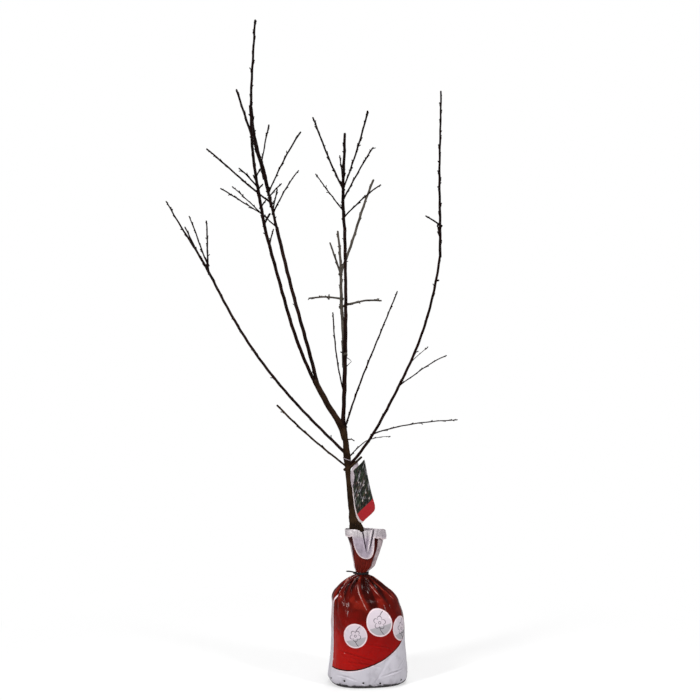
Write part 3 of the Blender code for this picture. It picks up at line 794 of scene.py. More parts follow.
# Each bark's dark, light and lenticels
BARKS = {
    "bark_trunk": ((0.0034, 0.0014, 0.0006), (0.045, 0.0225, 0.0095), (0.095, 0.056, 0.032)),
    "bark_fork": ((0.0026, 0.0010, 0.0005), (0.0340, 0.0162, 0.0078), (0.080, 0.045, 0.028)),
    "bark_bough": ((0.0014, 0.0004, 0.0002), (0.0190, 0.0062, 0.0042), (0.055, 0.026, 0.019)),
    "bark_upper": ((0.0008, 0.0003, 0.0002), (0.0110, 0.0030, 0.0022), (0.032, 0.014, 0.011)),
    "bark_grey": ((0.020, 0.017, 0.0135), (0.090, 0.076, 0.062), (0.15, 0.13, 0.11)),
}
BARK_OF = {
    "bough_twin_base": "bark_fork", "cut_stub": "bark_trunk", "twig_low_left": "bark_trunk",
    "bough_back": "bark_grey",
}
BUD_SCALES = {
    "bud_scales": ((0.0012, 0.0005, 0.0003), (0.0100, 0.0045, 0.0032)),
    "bud_scales_grey": ((0.016, 0.012, 0.009), (0.070, 0.056, 0.044)),
}


# The tree


def dress_limb(wood, buds, limb, line, seed, parent_radius, budded):
    """Puts bark and buds on a limb: a twig ends in buds, and so does all that is in a crown."""
    radius_at = limb_radius(limb, parent_radius)
    start = SINK + parent_radius + budded.first
    nodes = nodes_along(limb.length + SINK, start, seed)[: BUD_COUNTS.get(seed)]
    sunk = [line[0] + (line[0] - line[1]).normalized() * SINK, *line]
    course = add_limb(wood, sunk, radius_at, kind_of(limb), nodes, CUSHION * budded.cushion)
    add_buds(wood, buds, course, nodes, radius_at, budded.bud)
    if budded is not ON_BOUGH:
        add_tip_bud(buds, course, limb.thin / 2)


def make_tree():
    """Trunk and boughs in their bark, the masses carried on to twigs, and the buds of them all."""
    mats = {name: bark_material(name, *colours) for name, colours in BARKS.items()}
    mats.update({name: bud_material(name, *colours) for name, colours in BUD_SCALES.items()})
    lines = {"trunk": grow(TRUNK_FOOT, TRUNK, TRUNK_STEP, "trunk")}
    radii = {"trunk": TRUNK.thin / 2}
    trunk, buds = Shape(), Shape()
    add_limb(trunk, lines["trunk"], trunk_radius, "trunk", relief=TRUNK_RELIEF, lobe=graft_lobe)
    make_extras(trunk, buds, lines, "trunk")
    ride_root(trunk.make("trunk_bark", mats["bark_trunk"]), "bark", "trunk")
    for name, limb in BOUGHS.items():
        lines[name] = grow(foot_on(limb, lines), limb, LIMB_STEP, name)
        radii[name] = limb.thin / 2
        shape = Shape()
        budded = ON_BOUGH if kind_of(limb) == "bough" else ON_TWIG
        dress_limb(shape, buds, limb, lines[name], name, radii[limb.parent], budded)
        make_extras(shape, buds, lines, name)
        if name == "bough_back":
            foot = foot_on(BACK_RIDGE, lines) + FRONT * RIDGE_FORWARD
            ridge = grow(foot, BACK_RIDGE, LIMB_STEP, "ridge")
            add_limb(shape, ridge, limb_radius(BACK_RIDGE, RIDGE_PARENT), "twig")
        mat = mats[BARK_OF.get(name, "bark_bough")]
        ride_root(shape.make(name + "_bark", mat), "grey_bark" if name == "bough_back" else "bark", name)
    ride_root(buds.make("bough_buds", mats["bud_scales"]), "bark")
    for name in CROWNS:
        if name == "crown_back":
            make_crown(name, lines, radii, mats["bark_grey"], mats["bud_scales_grey"], "grey_twigs")
        else:
            make_crown(name, lines, radii, mats["bark_upper"], mats["bud_scales"], "twigs")
    return lines


def make_extras(shape, buds, lines, parent):
    """The small side twigs of one limb that the solids leave out."""
    for name, limb in EXTRAS.items():
        if limb.parent == parent:
            line = grow(foot_on(limb, lines), limb, EXTRA_STEP, name)
            radius_at = limb_radius(limb, EXTRA_PARENT)
            course = add_limb(shape, line, radius_at, kind_of(limb), relief=EXTRA_RELIEF)
            if BUDDED_FROM < limb.thick < BOUGH_GIRTH:
                add_tip_bud(buds, course, limb.thin / 2)


def make_crown(name, lines, radii, bark, bud_mat, slot):
    """One bare mass: its stem and twigs joined in one piece, and their buds in another."""
    twigs = CROWNS[name]
    own, own_radii = dict(lines), dict(radii)
    wood, buds = Shape(), Shape()
    spurs = []
    for twig_name, twig in {**twigs, **CROWN_EXTRAS.get(name, {})}.items():
        seed = name + twig_name
        line = grow(foot_on(twig, own), twig, LIMB_STEP, seed)
        dress_limb(wood, buds, twig, line, seed, own_radii[twig.parent], IN_CROWN)
        own[twig_name] = line
        own_radii[twig_name] = (twig.thick + twig.thin) / 4
        if twig_name in twigs:
            spurs += [(twig_name, spur) for spur in spurs_along(line, seed)]
    base_lines = {key: own[key] for key in twigs}
    for foot, tip in kept_spurs(spurs, base_lines, list(lines.values())):
        way = (tip - foot).normalized()
        across = way.orthogonal().normalized()
        length = (tip - foot).length
        add_knobbly(wood, foot, way, across, way.cross(across), length, SPUR_RADII, SPUR_SCARS)
        add_bud(buds, tip - way * SPUR_BUD_BACK, way, across, SPUR_BUD)
    ride_root(wood.make(name + "_twigs", bark), slot, name)
    ride_root(buds.make(name + "_buds", bud_mat), slot)
    lines.update({name + "." + key: line for key, line in base_lines.items()})


# The bag

# Its level outlines: height, left and right ends, half their depth, and how square they are
Ring = namedtuple("Ring", "height left right half_depth squareness")
BAG_RINGS = (
    Ring(0.000, -0.082, 0.083, 0.060, 2.5),
    Ring(0.006, -0.090, 0.091, 0.067, 2.6),
    Ring(0.018, -0.094, 0.094, 0.071, 2.6),
    Ring(0.042, -0.091, 0.093, 0.073, 2.6),
    Ring(0.084, -0.087, 0.090, 0.075, 2.6),
    Ring(0.150, -0.086, 0.085, 0.075, 2.6),
    Ring(0.190, -0.085, 0.074, 0.067, 2.5),
    Ring(0.209, -0.082, 0.060, 0.054, 2.4),
    Ring(0.225, -0.074, 0.044, 0.043, 2.3),
    Ring(0.238, -0.061, 0.028, 0.031, 2.2),
    Ring(0.249, -0.044, 0.013, 0.022, 2.0),
    Ring(0.2568, -0.0286, 0.0006, 0.0146, 2.0),
    Ring(0.2625, -0.0280, 0.0000, 0.0142, 2.0),
)
BAG_TURN = math.radians(8)
BAG_COLUMNS = 500
BAG_ROW = 0.0018
WIDEST = 4  # the ring whose way round measures the film
PANEL_LEFT = -0.1120  # the printed panel, across the film from the front's middle
PANEL_RIGHT = 0.126
SEAM_RIDGE = 0.0011  # the gusset's folds stand out at the panel's sides
SEAM_HALF = 0.0022
HOLES = (
    (-0.063, 0.0185), (-0.020, 0.0145), (0.018, 0.0115), (0.072, 0.0140), (0.112, 0.0190),
    (0.160, 0.0150), (0.215, 0.0175), (-0.110, 0.0165), (-0.165, 0.0135), (-0.225, 0.0185),
)
HOLE_RADIUS = 0.0024
HOLE_DEPTH = 0.0016
SHOULDER = Bulge(0.210, 0.016, 0.0034)  # the film stands out to the sides here
# The folds that run down from the tie, a few broad and long, many fine and short: how many, how evenly
# they stand, and from least to most their width in degrees, depth, reach and skew
FOLD_KINDS = (
    (13, 0.35, (5.5, 9.0), (0.0030, 0.0052), (0.085, 0.150), (-0.22, 0.22)),
    (58, 0.40, (1.5, 2.9), (0.0009, 0.0019), (0.030, 0.095), (-0.10, 0.10)),
)
Fold = namedtuple("Fold", "turn width depth reach skew")
# Sharp stretched creases on the shoulder, by their turns in degrees; the last value scales each one's rise
# and the painted highlight along it
Crest = namedtuple("Crest", "turn start reach skew bright")
CRESTS = (
    Crest(-187, 0.010, 0.078, 1.10, 1.0), Crest(-181, 0.020, 0.056, 1.00, 0.9),
    Crest(-142, 0.012, 0.046, 0.40, 0.6), Crest(-110, 0.012, 0.118, 0.27, 1.0),
    Crest(-160, 0.062, 0.112, 0.58, 0.75), Crest(-78, 0.040, 0.092, 0.25, 0.85),
    Crest(-88, 0.008, 0.040, 1.70, 0.8), Crest(-70, 0.054, 0.100, 0.67, 0.95),
    Crest(-30, 0.020, 0.080, 0.30, 0.7), Crest(-52, 0.030, 0.076, 0.20, 0.7),
    Crest(8, 0.012, 0.070, 0.05, 0.9), Crest(37, 0.010, 0.062, -0.20, 0.8),
    Crest(66, 0.014, 0.086, 0.24, 1.0), Crest(97, 0.012, 0.060, -0.13, 0.8),
    Crest(128, 0.010, 0.080, 0.28, 0.9), Crest(161, 0.012, 0.064, -0.05, 0.8),
)
CREST_HALF = 0.0011
CREST_RISE = 0.0010
# Painted shade in the deep folds near the tie: turn and width in degrees, and reach
TIE_FOLD_SHADES = (
    (-152, 9, 0.060), (-119, 8, 0.075), (-72, 38, 0.058), (-84, 13, 0.150), (-50, 6, 0.085),
    (-34, 8, 0.120), (-16, 9, 0.090), (-8, 9, 0.080), (24, 12, 0.120), (60, 9, 0.090),
    (92, 14, 0.140), (135, 9, 0.100), (175, 10, 0.090),
)
# Creases across the filled part: from and to (across, up), and how far they dip
DENTS = (
    ((-0.098, 0.0900), (0.016, 0.0600), 0.0024), ((-0.074, 0.0640), (0.030, 0.0470), 0.0018),
    ((-0.030, 0.1080), (0.064, 0.0840), 0.0014), ((0.056, 0.0400), (0.118, 0.0760), 0.0018),
    ((0.016, 0.0260), (0.096, 0.0410), 0.0019), ((-0.088, 0.0300), (-0.030, 0.0190), 0.0014),
    ((0.150, 0.1200), (0.215, 0.0700), 0.0020), ((0.180, 0.0560), (0.250, 0.0840), 0.0018),
    ((-0.240, 0.0900), (-0.150, 0.1200), 0.0020), ((-0.215, 0.0450), (-0.130, 0.0620), 0.0018),
    ((-0.140, 0.1500), (-0.118, 0.0800), 0.0012),
)
DENT_HALF = 0.0028
DENT_BOW = 0.004
SKEW_PER = 0.1  # metres down, over which a fold turns by its skew
FILLED_TO = 0.19
FILM_WAVES = (0.0018, 0.0006)  # broad and fine
# Slanting creases of the filled part: their lean, fineness and seed, and how deep they are
SLANTS = ((34.0, 26.0, 3.0), (-21.0, 31.0, 8.0))
SLANT_DEPTH = 0.0011
# How deep a fold and a dent are where their painted shade is full, and how dark the painted shade in the deep
# folds near the tie is
DARK_FOLD = 0.0034
DARK_DENT = 0.0040
TIE_FOLD_SHADE_DARK = 0.90


def between(rings, place):
    """The ring this far along the list, smoothly."""
    low = min(max(int(place), 0), len(rings) - 2)
    four = rings[max(low - 1, 0)], rings[low], rings[low + 1], rings[min(low + 2, len(rings) - 1)]
    return Ring(*(curved(*values, place - low) for values in zip(*four)))


def places_by_height(rings, step):
    """Places along the list of rings, about one step of height apart, and each ring itself."""
    places = []
    for i, (low, high) in enumerate(zip(rings, rings[1:])):
        rise = abs(high.height - low.height) + abs(high.left - low.left) * 0.7
        count = max(2, round(rise / step))
        places += [i + k / count for k in range(count)]
    return places + [len(rings) - 1]


def oval(ring, turn, swing=0.0):
    """The point at this turn on a level squarish oval, turned about its middle."""
    power = 2.0 / ring.squareness
    x = math.copysign(abs(math.cos(turn)) ** power, math.cos(turn)) * (ring.right - ring.left) / 2
    y = math.copysign(abs(math.sin(turn)) ** power, math.sin(turn)) * ring.half_depth
    cos, sin = math.cos(swing), math.sin(swing)
    return Vector(((ring.left + ring.right) / 2 + x * cos - y * sin, x * sin + y * cos, ring.height))


def turns_round(count):
    """Even turns all the way round, from the back."""
    return [-math.pi * 1.5 + 2 * math.pi * k / count for k in range(count)]


def fold_lines():
    """The folds by a seeded rule."""
    rng = random.Random("folds")
    folds = []
    for count, shift, *ranges in FOLD_KINDS:
        for k in range(count):
            turn = 2 * math.pi * (k + rng.uniform(-shift, shift)) / count
            folds.append(Fold(turn, *(rng.uniform(*least_most) for least_most in ranges)))
    return folds


def turn_apart(a, b):
    """The angle between two turns."""
    return abs((a - b + math.pi) % (2 * math.pi) - math.pi)


def drawn_in(turn, down, girth, folds):
    """How far the folds draw the film in, this far down from the tie: sharp valleys, soft sides."""
    drawn = 0.0
    for fold in folds:
        share = turn_apart(turn, fold.turn + fold.skew * down / SKEW_PER) / math.radians(fold.width)
        if down <= fold.reach and share <= 2.6:
            valley = math.exp(-1.7 * share) * (1.0 + 0.6 * share)
            valley -= 0.30 * math.exp(-((share - 1.5) ** 2) * 3.0)
            drawn += fold.depth * valley * smooth((fold.reach - down) / (0.65 * fold.reach))
    return drawn * (0.22 + 0.78 * smooth(down / 0.030)) * min(1.0, girth / 0.035)


def crest_at(turn, down, girth):
    """How near a stretched crease is, from 0 to 1."""
    best = 0.0
    for crest in CRESTS:
        if crest.start < down < crest.reach:
            apart = turn_apart(turn, math.radians(crest.turn) + crest.skew * down / SKEW_PER)
            window = smooth((down - crest.start) / 0.010) * smooth((crest.reach - down) / 0.020)
            best = max(best, math.exp(-((apart * girth / CREST_HALF) ** 2)) * window * crest.bright)
    return best


def tie_fold_shade(turn, down):
    """How much painted shade the deep folds near the tie give the film, from 0 to 1."""
    dark = 0.0
    for degrees, width, reach in TIE_FOLD_SHADES:
        half = math.radians(width * (1.0 - 0.7 * down / reach))
        apart = turn_apart(turn, math.radians(degrees)) / half
        if apart < 2.5 and down < reach:
            dark += math.exp(-(apart**4)) * smooth((reach - down) / (0.5 * reach))
    return min(dark, 1.0)


def dent_at(around, height):
    """How far the film dips into the creases that cross the filled part."""
    dip = 0.0
    for start, end, depth in DENTS:
        run = Vector(end) - Vector(start)
        spot = Vector((around, height)) - Vector(start)
        along = spot.dot(run) / run.length_squared
        if 0.0 < along < 1.0:
            rise = math.sin(math.pi * along)
            apart = (spot - run * along).dot(run.orthogonal().normalized()) - DENT_BOW * rise
            share = abs(apart) / DENT_HALF
            if share < 3:
                fold = math.exp(-2.2 * share) - 0.35 * math.exp(-((share - 1.2) ** 2) * 2.0)
                dip += depth * fold * rise
    return dip


def film_wave(turn, height, around):
    """Soft dents and slanting creases of film over soil."""
    spot = Vector((math.cos(turn) * 2.1, math.sin(turn) * 2.1, height * 17.0))
    fine = spot * 3.7 + Vector((5.0, 0.0, 0.0))
    wave = noise.noise(spot) * FILM_WAVES[0] + noise.noise(fine) * FILM_WAVES[1]
    calm = 1.0 - 0.6 * smooth((height - 0.14) / 0.03)
    for lean, step, seed in SLANTS:
        slanted = noise.noise(Vector((around * step + height * lean, height * 9.0, seed)))
        patch = smooth(noise.noise(Vector((around * 19.0, height * 24.0, seed + 5.0))) * 4.0)
        wave -= SLANT_DEPTH * calm * patch * max(0.0, 1.0 - abs(slanted) * 13.0)
    return wave * smooth(height / 0.02) * (1.0 - 0.8 * smooth((height - FILLED_TO) / 0.05))


def made_up(across, height, whole):
    """How far the film stands out in the gusset's seams and in round the holes of its foot."""
    out = 0.0
    clear = smooth((height - 0.004) / 0.02) * (1.0 - smooth((height - FILLED_TO) / 0.04))
    for seam in (PANEL_LEFT, PANEL_RIGHT, whole / 2 + PANEL_LEFT, PANEL_RIGHT - whole / 2):
        apart = abs((across - seam + whole / 2) % whole - whole / 2)
        out += SEAM_RIDGE * clear * math.exp(-apart / SEAM_HALF)
    for spot, level in HOLES:
        apart = math.hypot(across - spot, height - level)
        out -= HOLE_DEPTH * smooth((HOLE_RADIUS * 1.25 - apart) / (HOLE_RADIUS * 0.5))
    return out


def make_bag(mat):
    """The root ball's bag: a film drawn in to the tie, standing on its flat underside."""
    folds = fold_lines()
    widest = between(BAG_RINGS, WIDEST)
    turns = turns_round(BAG_COLUMNS)
    steps = [(oval(widest, b) - oval(widest, a)).length for a, b in zip(turns, turns[1:] + turns[:1])]
    whole = sum(steps)
    around = [sum(steps[:k]) for k in range(BAG_COLUMNS)]
    front = around[min(range(BAG_COLUMNS), key=lambda k: abs(turns[k] + math.pi / 2))]
    across = [(value - front + whole / 2) % whole - whole / 2 for value in around]
    rings = [between(BAG_RINGS, place) for place in places_by_height(BAG_RINGS, BAG_ROW)]
    girths = [(ring.right - ring.left) / 2 for ring in rings]
    plain = [[oval(ring, turn, BAG_TURN) for turn in turns] for ring in rings]
    last = len(rings) - 1
    down = [0.0] * len(rings)  # from the tie, along the film
    for i in reversed(range(last)):
        rise = rings[i + 1].height - rings[i].height
        down[i] = down[i + 1] + math.hypot(girths[i] - girths[i + 1], rise)
    moved_rings, fold_shades, crests = [], [], []
    for i, (ring, row, girth) in enumerate(zip(rings, plain, girths)):
        height = ring.height
        upper, lower = plain[min(i + 1, last)], plain[max(i - 1, 0)]
        moved_rings.append([])
        for k, turn in enumerate(turns):
            side = row[(k + 1) % BAG_COLUMNS] - row[k - 1]
            normal = side.cross(upper[k] - lower[k]).normalized()
            drawn = drawn_in(turn, down[i], girth, folds)
            crest = crest_at(turn, down[i], girth)
            dent = dent_at(across[k], height)
            moved = film_wave(turn, height, across[k]) - drawn + CREST_RISE * crest - dent
            moved += swell(SHOULDER, height) * math.cos(turn) ** 2 + made_up(across[k], height, whole)
            moved_rings[-1].append(row[k] + normal * moved * smooth(height / 0.004))
            # Painted shade: darker in the folds' valleys, in the deep folds near the tie and in the dents
            fold_and_dent_shade = TIE_FOLD_SHADE_DARK * tie_fold_shade(turn, down[i]) + max(dent, 0.0) / DARK_DENT
            fold_shades.append(min(1.0, max(drawn, 0.0) / DARK_FOLD + fold_and_dent_shade))
            crests.append(crest)
    shape = Shape()
    shape.add_rings(moved_rings)
    obj = shape.make("bag_film", mat)
    ways = across, [(value + whole) % whole - whole / 2 for value in across]
    corners = []
    for face in shape.faces:
        first = face[0] % BAG_COLUMNS
        for vertex in face:
            sides = [way[vertex % BAG_COLUMNS] for way in ways]
            if len(face) == 4:  # all four on the same side of the join
                sides = [s - whole * round((s - way[first]) / whole) for s, way in zip(sides, ways)]
            corners.append((*sides, rings[vertex // BAG_COLUMNS].height))
    store(obj, "film", corners, "CORNER")
    store(obj, "valley", fold_shades)
    store(obj, "crest", crests)
    ride_root(obj, "bag_film", "root_bag")


# The collar above the tie

COLLAR_RINGS = (
    Ring(0.2628, -0.030, 0.003, 0.0155, 2.0),
    Ring(0.2760, -0.034, 0.017, 0.0200, 2.0),
    Ring(0.2910, -0.036, 0.023, 0.0240, 2.0),
    Ring(0.3240, -0.042, 0.034, 0.0300, 2.0),
    Ring(0.3640, -0.053, 0.041, 0.0350, 2.0),
)
COLLAR_COLUMNS = 300
COLLAR_ROWS = 50
COLLAR_FOOT = 0.0002
COLLAR_PLEATS = 22
PLEAT_WIDTH = math.radians(6.5)
PLEAT_DEPTH = 0.0042
ROLL_ROWS = 6
CUFF_ROWS = 34
CUFF_ROLL = 0.0013
CUFF_STANDS_OFF = 0.0016
CUFF_WAVES = 0.0012
CUFF_LONG = 0.0152
CUFF_RIGHT_LONGER = 0.0045
CUFF_SCALLOP = 0.0012
CUFF_HANGS = 0.5  # how far the cuff hangs straight, against following the wall in
TONGUE_HANGS = 0.72
TONGUE_LONG = 0.0660
TONGUE_MIDDLE = -0.0110
TONGUE_HALF = 0.0243
TONGUE_ROUND = 3.0
TONGUE_SLANT = 0.006
FILM_THICK = 0.0004
# How far the rim stands up at the front, waves twice and five times on its way round, and is lower at the
# right and all round
RIM_FRONT = 0.0058
RIM_WAVES = (0.0016, 0.0010)
RIM_RIGHT = 0.0036
RIM_LOWER = 0.0030
# The notch in the rim where the long crease starts: its turn, half its width in radians, and its depth
NOTCH = (math.radians(-101), 0.11, 0.0042)
COLLAR_WAVES = (0.0020, 0.0009)  # broad and fine
Crease = namedtuple("Crease", "top_x top_z low_x low_z depth half narrows", defaults=(0.7,))
# The long crease by the trunk, the shallow one beside it that carries painted shade, the raised fold that
# carries a painted highlight, the crease past it, and short ones
CREASES = (
    Crease(-0.0136, 0.3690, -0.0030, 0.3130, 0.0066, 0.0029),
    Crease(-0.0010, 0.3690, -0.0024, 0.3170, 0.0026, 0.0074, 1.3),
    Crease(0.0098, 0.3690, -0.0008, 0.3130, -0.0050, 0.0022),
    Crease(0.0130, 0.3660, 0.0040, 0.3210, 0.0052, 0.0030),
    Crease(-0.0275, 0.3690, -0.0215, 0.3420, 0.0018, 0.0022),
    Crease(0.0250, 0.3680, 0.0185, 0.3350, 0.0022, 0.0026),
)


def creased(x, z):
    """How far the front of the collar is folded in here."""
    drawn = 0.0
    for crease in CREASES:
        along = (crease.top_z - z) / (crease.top_z - crease.low_z)
        middle = crease.top_x + (crease.low_x - crease.top_x) * along
        half = crease.half * (1.5 - crease.narrows * min(max(along, 0.0), 1.0))
        share = 1.0 - abs(x - middle) / half
        if share > 0.0:
            drawn += crease.depth * share**1.4 * (1.0 - smooth((along - 0.72) / 0.38))
    return drawn


def collar_ring(height):
    """The collar's plain outline at this height."""
    heights = [ring.height for ring in COLLAR_RINGS]
    low = max(i for i, h in enumerate(heights[:-1]) if h <= height or i == 0)
    place = low + (height - heights[low]) / (heights[low + 1] - heights[low])
    ring = between(COLLAR_RINGS, min(max(place, 0.0), len(COLLAR_RINGS) - 1))
    return ring._replace(height=height)


def collar_point(turn, height, folds):
    """The film's place at this turn and height above the tie, and the way out from there."""
    ring = collar_ring(height)
    point = oval(ring, turn)
    out = (point - Vector(((ring.left + ring.right) / 2, 0.0, height))).normalized()
    low, high = COLLAR_RINGS[0].height, COLLAR_RINGS[-1].height
    up = (height - low) / (high - low)
    drawn = 0.0
    for fold_turn, depth, reach in folds:
        apart = turn_apart(turn, fold_turn + 0.25 * (up - 0.3))
        drawn += depth * math.exp(-1.6 * apart / PLEAT_WIDTH) * (1.0 - smooth(up / reach))
    spot = Vector((math.cos(turn) * 2.6, math.sin(turn) * 2.6, height * 30.0))
    wave = noise.noise(spot) * COLLAR_WAVES[0] + noise.noise(spot * 2.9) * COLLAR_WAVES[1]
    return point + out * (wave * smooth(up * 3) - drawn * PLEAT_DEPTH), out


def rim_notch(turn):
    """How far the rim dips where the long crease starts."""
    middle, half, depth = NOTCH
    return depth * math.exp(-((turn_apart(turn, middle) / half) ** 2))


def rim_height(turn):
    """The rim stands higher at the front."""
    facing = max(0.0, -math.sin(turn))
    sides = RIM_WAVES[0] * math.cos(2 * turn) + RIM_WAVES[1] * math.sin(5 * turn)
    right = RIM_RIGHT * smooth(math.cos(turn) - 0.35)
    plain = COLLAR_RINGS[-1].height + RIM_FRONT * facing + sides - right - RIM_LOWER
    return plain - rim_notch(turn)


def front_of_wall(x, height):
    """How far forward the plain wall's front stands here."""
    ring = collar_ring(height)
    middle = (ring.left + ring.right) / 2
    share = min(abs(x - middle) / ((ring.right - ring.left) / 2), 0.999)
    return -ring.half_depth * (1.0 - share**ring.squareness) ** (1.0 / ring.squareness)


def flap_length(top):
    """The rolled cuff is short, with one long tongue at the front."""
    scallop = CUFF_SCALLOP * math.sin(top.x * 420.0)
    plain = CUFF_LONG + CUFF_RIGHT_LONGER * smooth(top.x / 0.03) + scallop
    share = abs(top.x - TONGUE_MIDDLE) / TONGUE_HALF
    if top.y > 0.0 or share >= 1.0:
        return plain
    return max(plain, TONGUE_LONG * (1.0 - share**TONGUE_ROUND) ** (1.0 / TONGUE_ROUND))


def collar_column(turn, folds):
    """The film at one turn: up the wall, over the rim's roll, and down outside."""
    foot = COLLAR_RINGS[0].height + COLLAR_FOOT
    rim = rim_height(turn)
    heights = [foot + (rim - foot) * i / (COLLAR_ROWS - 1) for i in range(COLLAR_ROWS)]
    column = [collar_point(turn, height, folds)[0] for height in heights]
    top, out = collar_point(turn, rim, folds)
    for angle in (math.pi * i / ROLL_ROWS for i in range(1, ROLL_ROWS + 1)):
        off = out * (CUFF_STANDS_OFF * (1 - math.cos(angle)) / 2)
        column.append(top + UP * (CUFF_ROLL * math.sin(angle)) + off)
    length = flap_length(top) - rim_notch(turn)
    hangs = CUFF_HANGS if length < 2 * CUFF_LONG else TONGUE_HANGS
    for along in shares(CUFF_ROWS)[1:]:
        height = top.z - length * along
        wall, wall_out = collar_point(turn, height, folds)
        waves = CUFF_WAVES * smooth(along * 1.5) * (1.2 + math.sin(5 * turn + 1.0))
        off = CUFF_STANDS_OFF + waves
        hanging = Vector((top.x + out.x * off, top.y + out.y * off, height))
        point = (wall + wall_out * off).lerp(hanging, hangs)
        if top.y < 0.0:
            point.x += TONGUE_SLANT * (length * along / TONGUE_LONG) ** 2
            point.y = min(point.y, front_of_wall(point.x, height) - off)
        column.append(point)
    return column


def make_collar(outer_mat, inner_mat):
    """The bag's mouth above the tie: film that flares up, rolls over its rim and hangs outside."""
    rng = random.Random("collar")
    folds = []
    for k in range(COLLAR_PLEATS):
        turn = 2 * math.pi * (k + rng.uniform(-0.3, 0.3)) / COLLAR_PLEATS
        folds.append((turn, rng.uniform(0.5, 1.0), rng.uniform(0.35, 0.85)))
    turns = turns_round(COLLAR_COLUMNS)
    rows = list(zip(*(collar_column(turn, folds) for turn in turns)))
    edge = kdtree.KDTree(COLLAR_COLUMNS)
    for k, point in enumerate(rows[-1]):
        edge.insert(point, k)
    edge.balance()
    film, dips = [], []
    for i, row in enumerate(rows):
        for turn, point in zip(turns, row):
            to_edge = edge.find(point)[2] if i >= COLLAR_ROWS else 1.0
            film.append((turn + math.pi / 2, to_edge, point.z))
            dips.append(creased(point.x, point.z) if point.y < 0.0 else 0.0)
            point.y += dips[-1]
    shape = Shape()
    shape.add_rings(rows, capped=False)
    obj = shape.make("collar_film", outer_mat, inner_mat)
    store(obj, "film", film)
    store(obj, "valley", dips)
    solid = obj.modifiers.new("thickness", "SOLIDIFY")
    solid.thickness = FILM_THICK
    solid.offset = -1.0
    solid.material_offset = solid.material_offset_rim = 1
    ride_root(obj, "collar_film", "bag_collar")


# The tie

TIE_MIDDLE = Vector((-0.014, 0.0, 0.2594))
TIE_INNER_RADIUS = 0.0153
TIE_THICK = 0.0016
TIE_WIDE = 0.0040
TIE_ROUND = 0.0003
TIE_BEVEL = 0.0004
TIE_CLEAR = 0.0001
TIE_RIBS = 144
TIE_RIB = 0.00012
TIE_HEAD = Vector((0.0054, 0.0050, 0.0052))
TIE_HEAD_ROUND = 0.0008
TIE_HEAD_OUT = 0.0012
TIE_TAIL_LONG = 0.023
TIE_TAIL_HALF = 0.0016
TIE_TAIL_THICK = 0.0008
TIE_TAIL_RIB = 0.85  # as a share of its thickness
TIE_TAIL_POINT = (0.86, 0.55)  # from where along it the tail narrows, and how much
TIE_TAIL_BEND = 0.0012
TIE_TAIL_RISE = math.radians(9)
TIE_TAIL_STEPS = 27


def outs_round(count):
    """Level directions all the way round."""
    turns = (2 * math.pi * k / count for k in range(count))
    return [Vector((math.cos(turn), math.sin(turn), 0.0)) for turn in turns]


def make_tie(mat):
    """A ratchet tie: a ribbed band, its head and the cut tail that leaves it to the left."""
    shape = Shape()
    half = UP * (TIE_WIDE / 2)
    edge = UP * (TIE_WIDE / 2 - TIE_BEVEL)
    rings = []
    for k, out in enumerate(outs_round(TIE_RIBS)):
        rib = TIE_RIB if k % 2 else 0.0
        inner = TIE_MIDDLE + out * (TIE_INNER_RADIUS + TIE_CLEAR)
        outer = TIE_MIDDLE + out * (TIE_INNER_RADIUS + TIE_THICK - TIE_ROUND - rib)
        inside, outside = inner + out * TIE_ROUND, outer - out * TIE_ROUND
        rings.append([
            inner - edge, inside - half, outside - half, outer - edge,
            outer + edge, outside + half, inside + half, inner + edge,
        ])
    shape.add_rings(rings + rings[:1], capped=False)
    head = TIE_MIDDLE - Vector((TIE_INNER_RADIUS + TIE_THICK + TIE_HEAD_OUT, 0.0, 0.0))
    add_rounded_block(shape, head, TIE_HEAD, TIE_HEAD_ROUND)
    start = TIE_MIDDLE - Vector((TIE_INNER_RADIUS, 0.0, 0.0))
    way = Vector((-math.cos(TIE_TAIL_RISE), 0.0, math.sin(TIE_TAIL_RISE)))
    narrows, share = TIE_TAIL_POINT
    rings = []
    for i, along in enumerate(shares(TIE_TAIL_STEPS)):
        bend = UP * (TIE_TAIL_BEND * math.sin(along * math.pi))
        middle = start + way * (TIE_TAIL_LONG * along) + bend
        half = UP * (TIE_TAIL_HALF * (1.0 - share * smooth((along - narrows) / (1.0 - narrows))))
        rib = FRONT * (TIE_TAIL_THICK * (TIE_TAIL_RIB if i % 2 else 1.0))
        low, high = middle - half, middle + half
        rings.append([low - rib, high - rib, high + rib, low + rib])
    shape.add_rings(rings)
    ride_root(shape.make("tie_strap", mat, smooth=False), "tie", "cable_tie")


def add_rounded_block(shape, middle, size, r):
    """A block with its edges rounded off by r, as rings up its height."""
    top = size.z / 2
    rings = []
    for height, inset in ((-top, r), (r - top, 0.0), (top - r, 0.0), (top, r)):
        x, y = size.x / 2 - inset, size.y / 2 - inset
        corners = (
            (x, y - r), (x - r, y), (r - x, y), (-x, y - r), (-x, r - y), (r - x, -y), (x - r, -y), (x, r - y)
        )
        rings.append([middle + Vector((*corner, height)) for corner in corners])
    shape.add_rings(rings)


# The label

CARD_CORNER = Vector((-0.0385, -0.0160, 0.5010))
CARD_ACROSS = Vector((0.030, -0.0345, 0.036))
CARD_DOWN = Vector((0.0250, -0.0885, -0.1055))
CARD_THICK = 0.0006
CARD_BOW = (0.0016, 0.0009)  # down it and across it
CARD_DOWN_STEPS = 48
CARD_ACROSS_STEPS = 24
# Its outline: share down it, and where it starts and ends across
CARD_ROWS = (
    (0.00, -0.02, 0.96), (0.03, -0.10, 1.00), (0.28, -0.16, 0.99), (0.64, -0.28, 0.98),
    (0.80, -0.29, 0.99), (0.90, -0.23, 1.00), (0.95, -0.16, 0.985), (0.98, -0.10, 0.95),
    (1.00, -0.04, 0.89),
)
CARD_MARGIN = 0.0044
CARD_SHARP = math.radians(50)
STRAP_HEIGHT = 0.5322
STRAP_WIDE = 0.0016
STRAP_THICK = 0.0006
STRAP_OFF = 0.0009
STRAP_TILT = 0.0032
STRAP_STEPS = 72
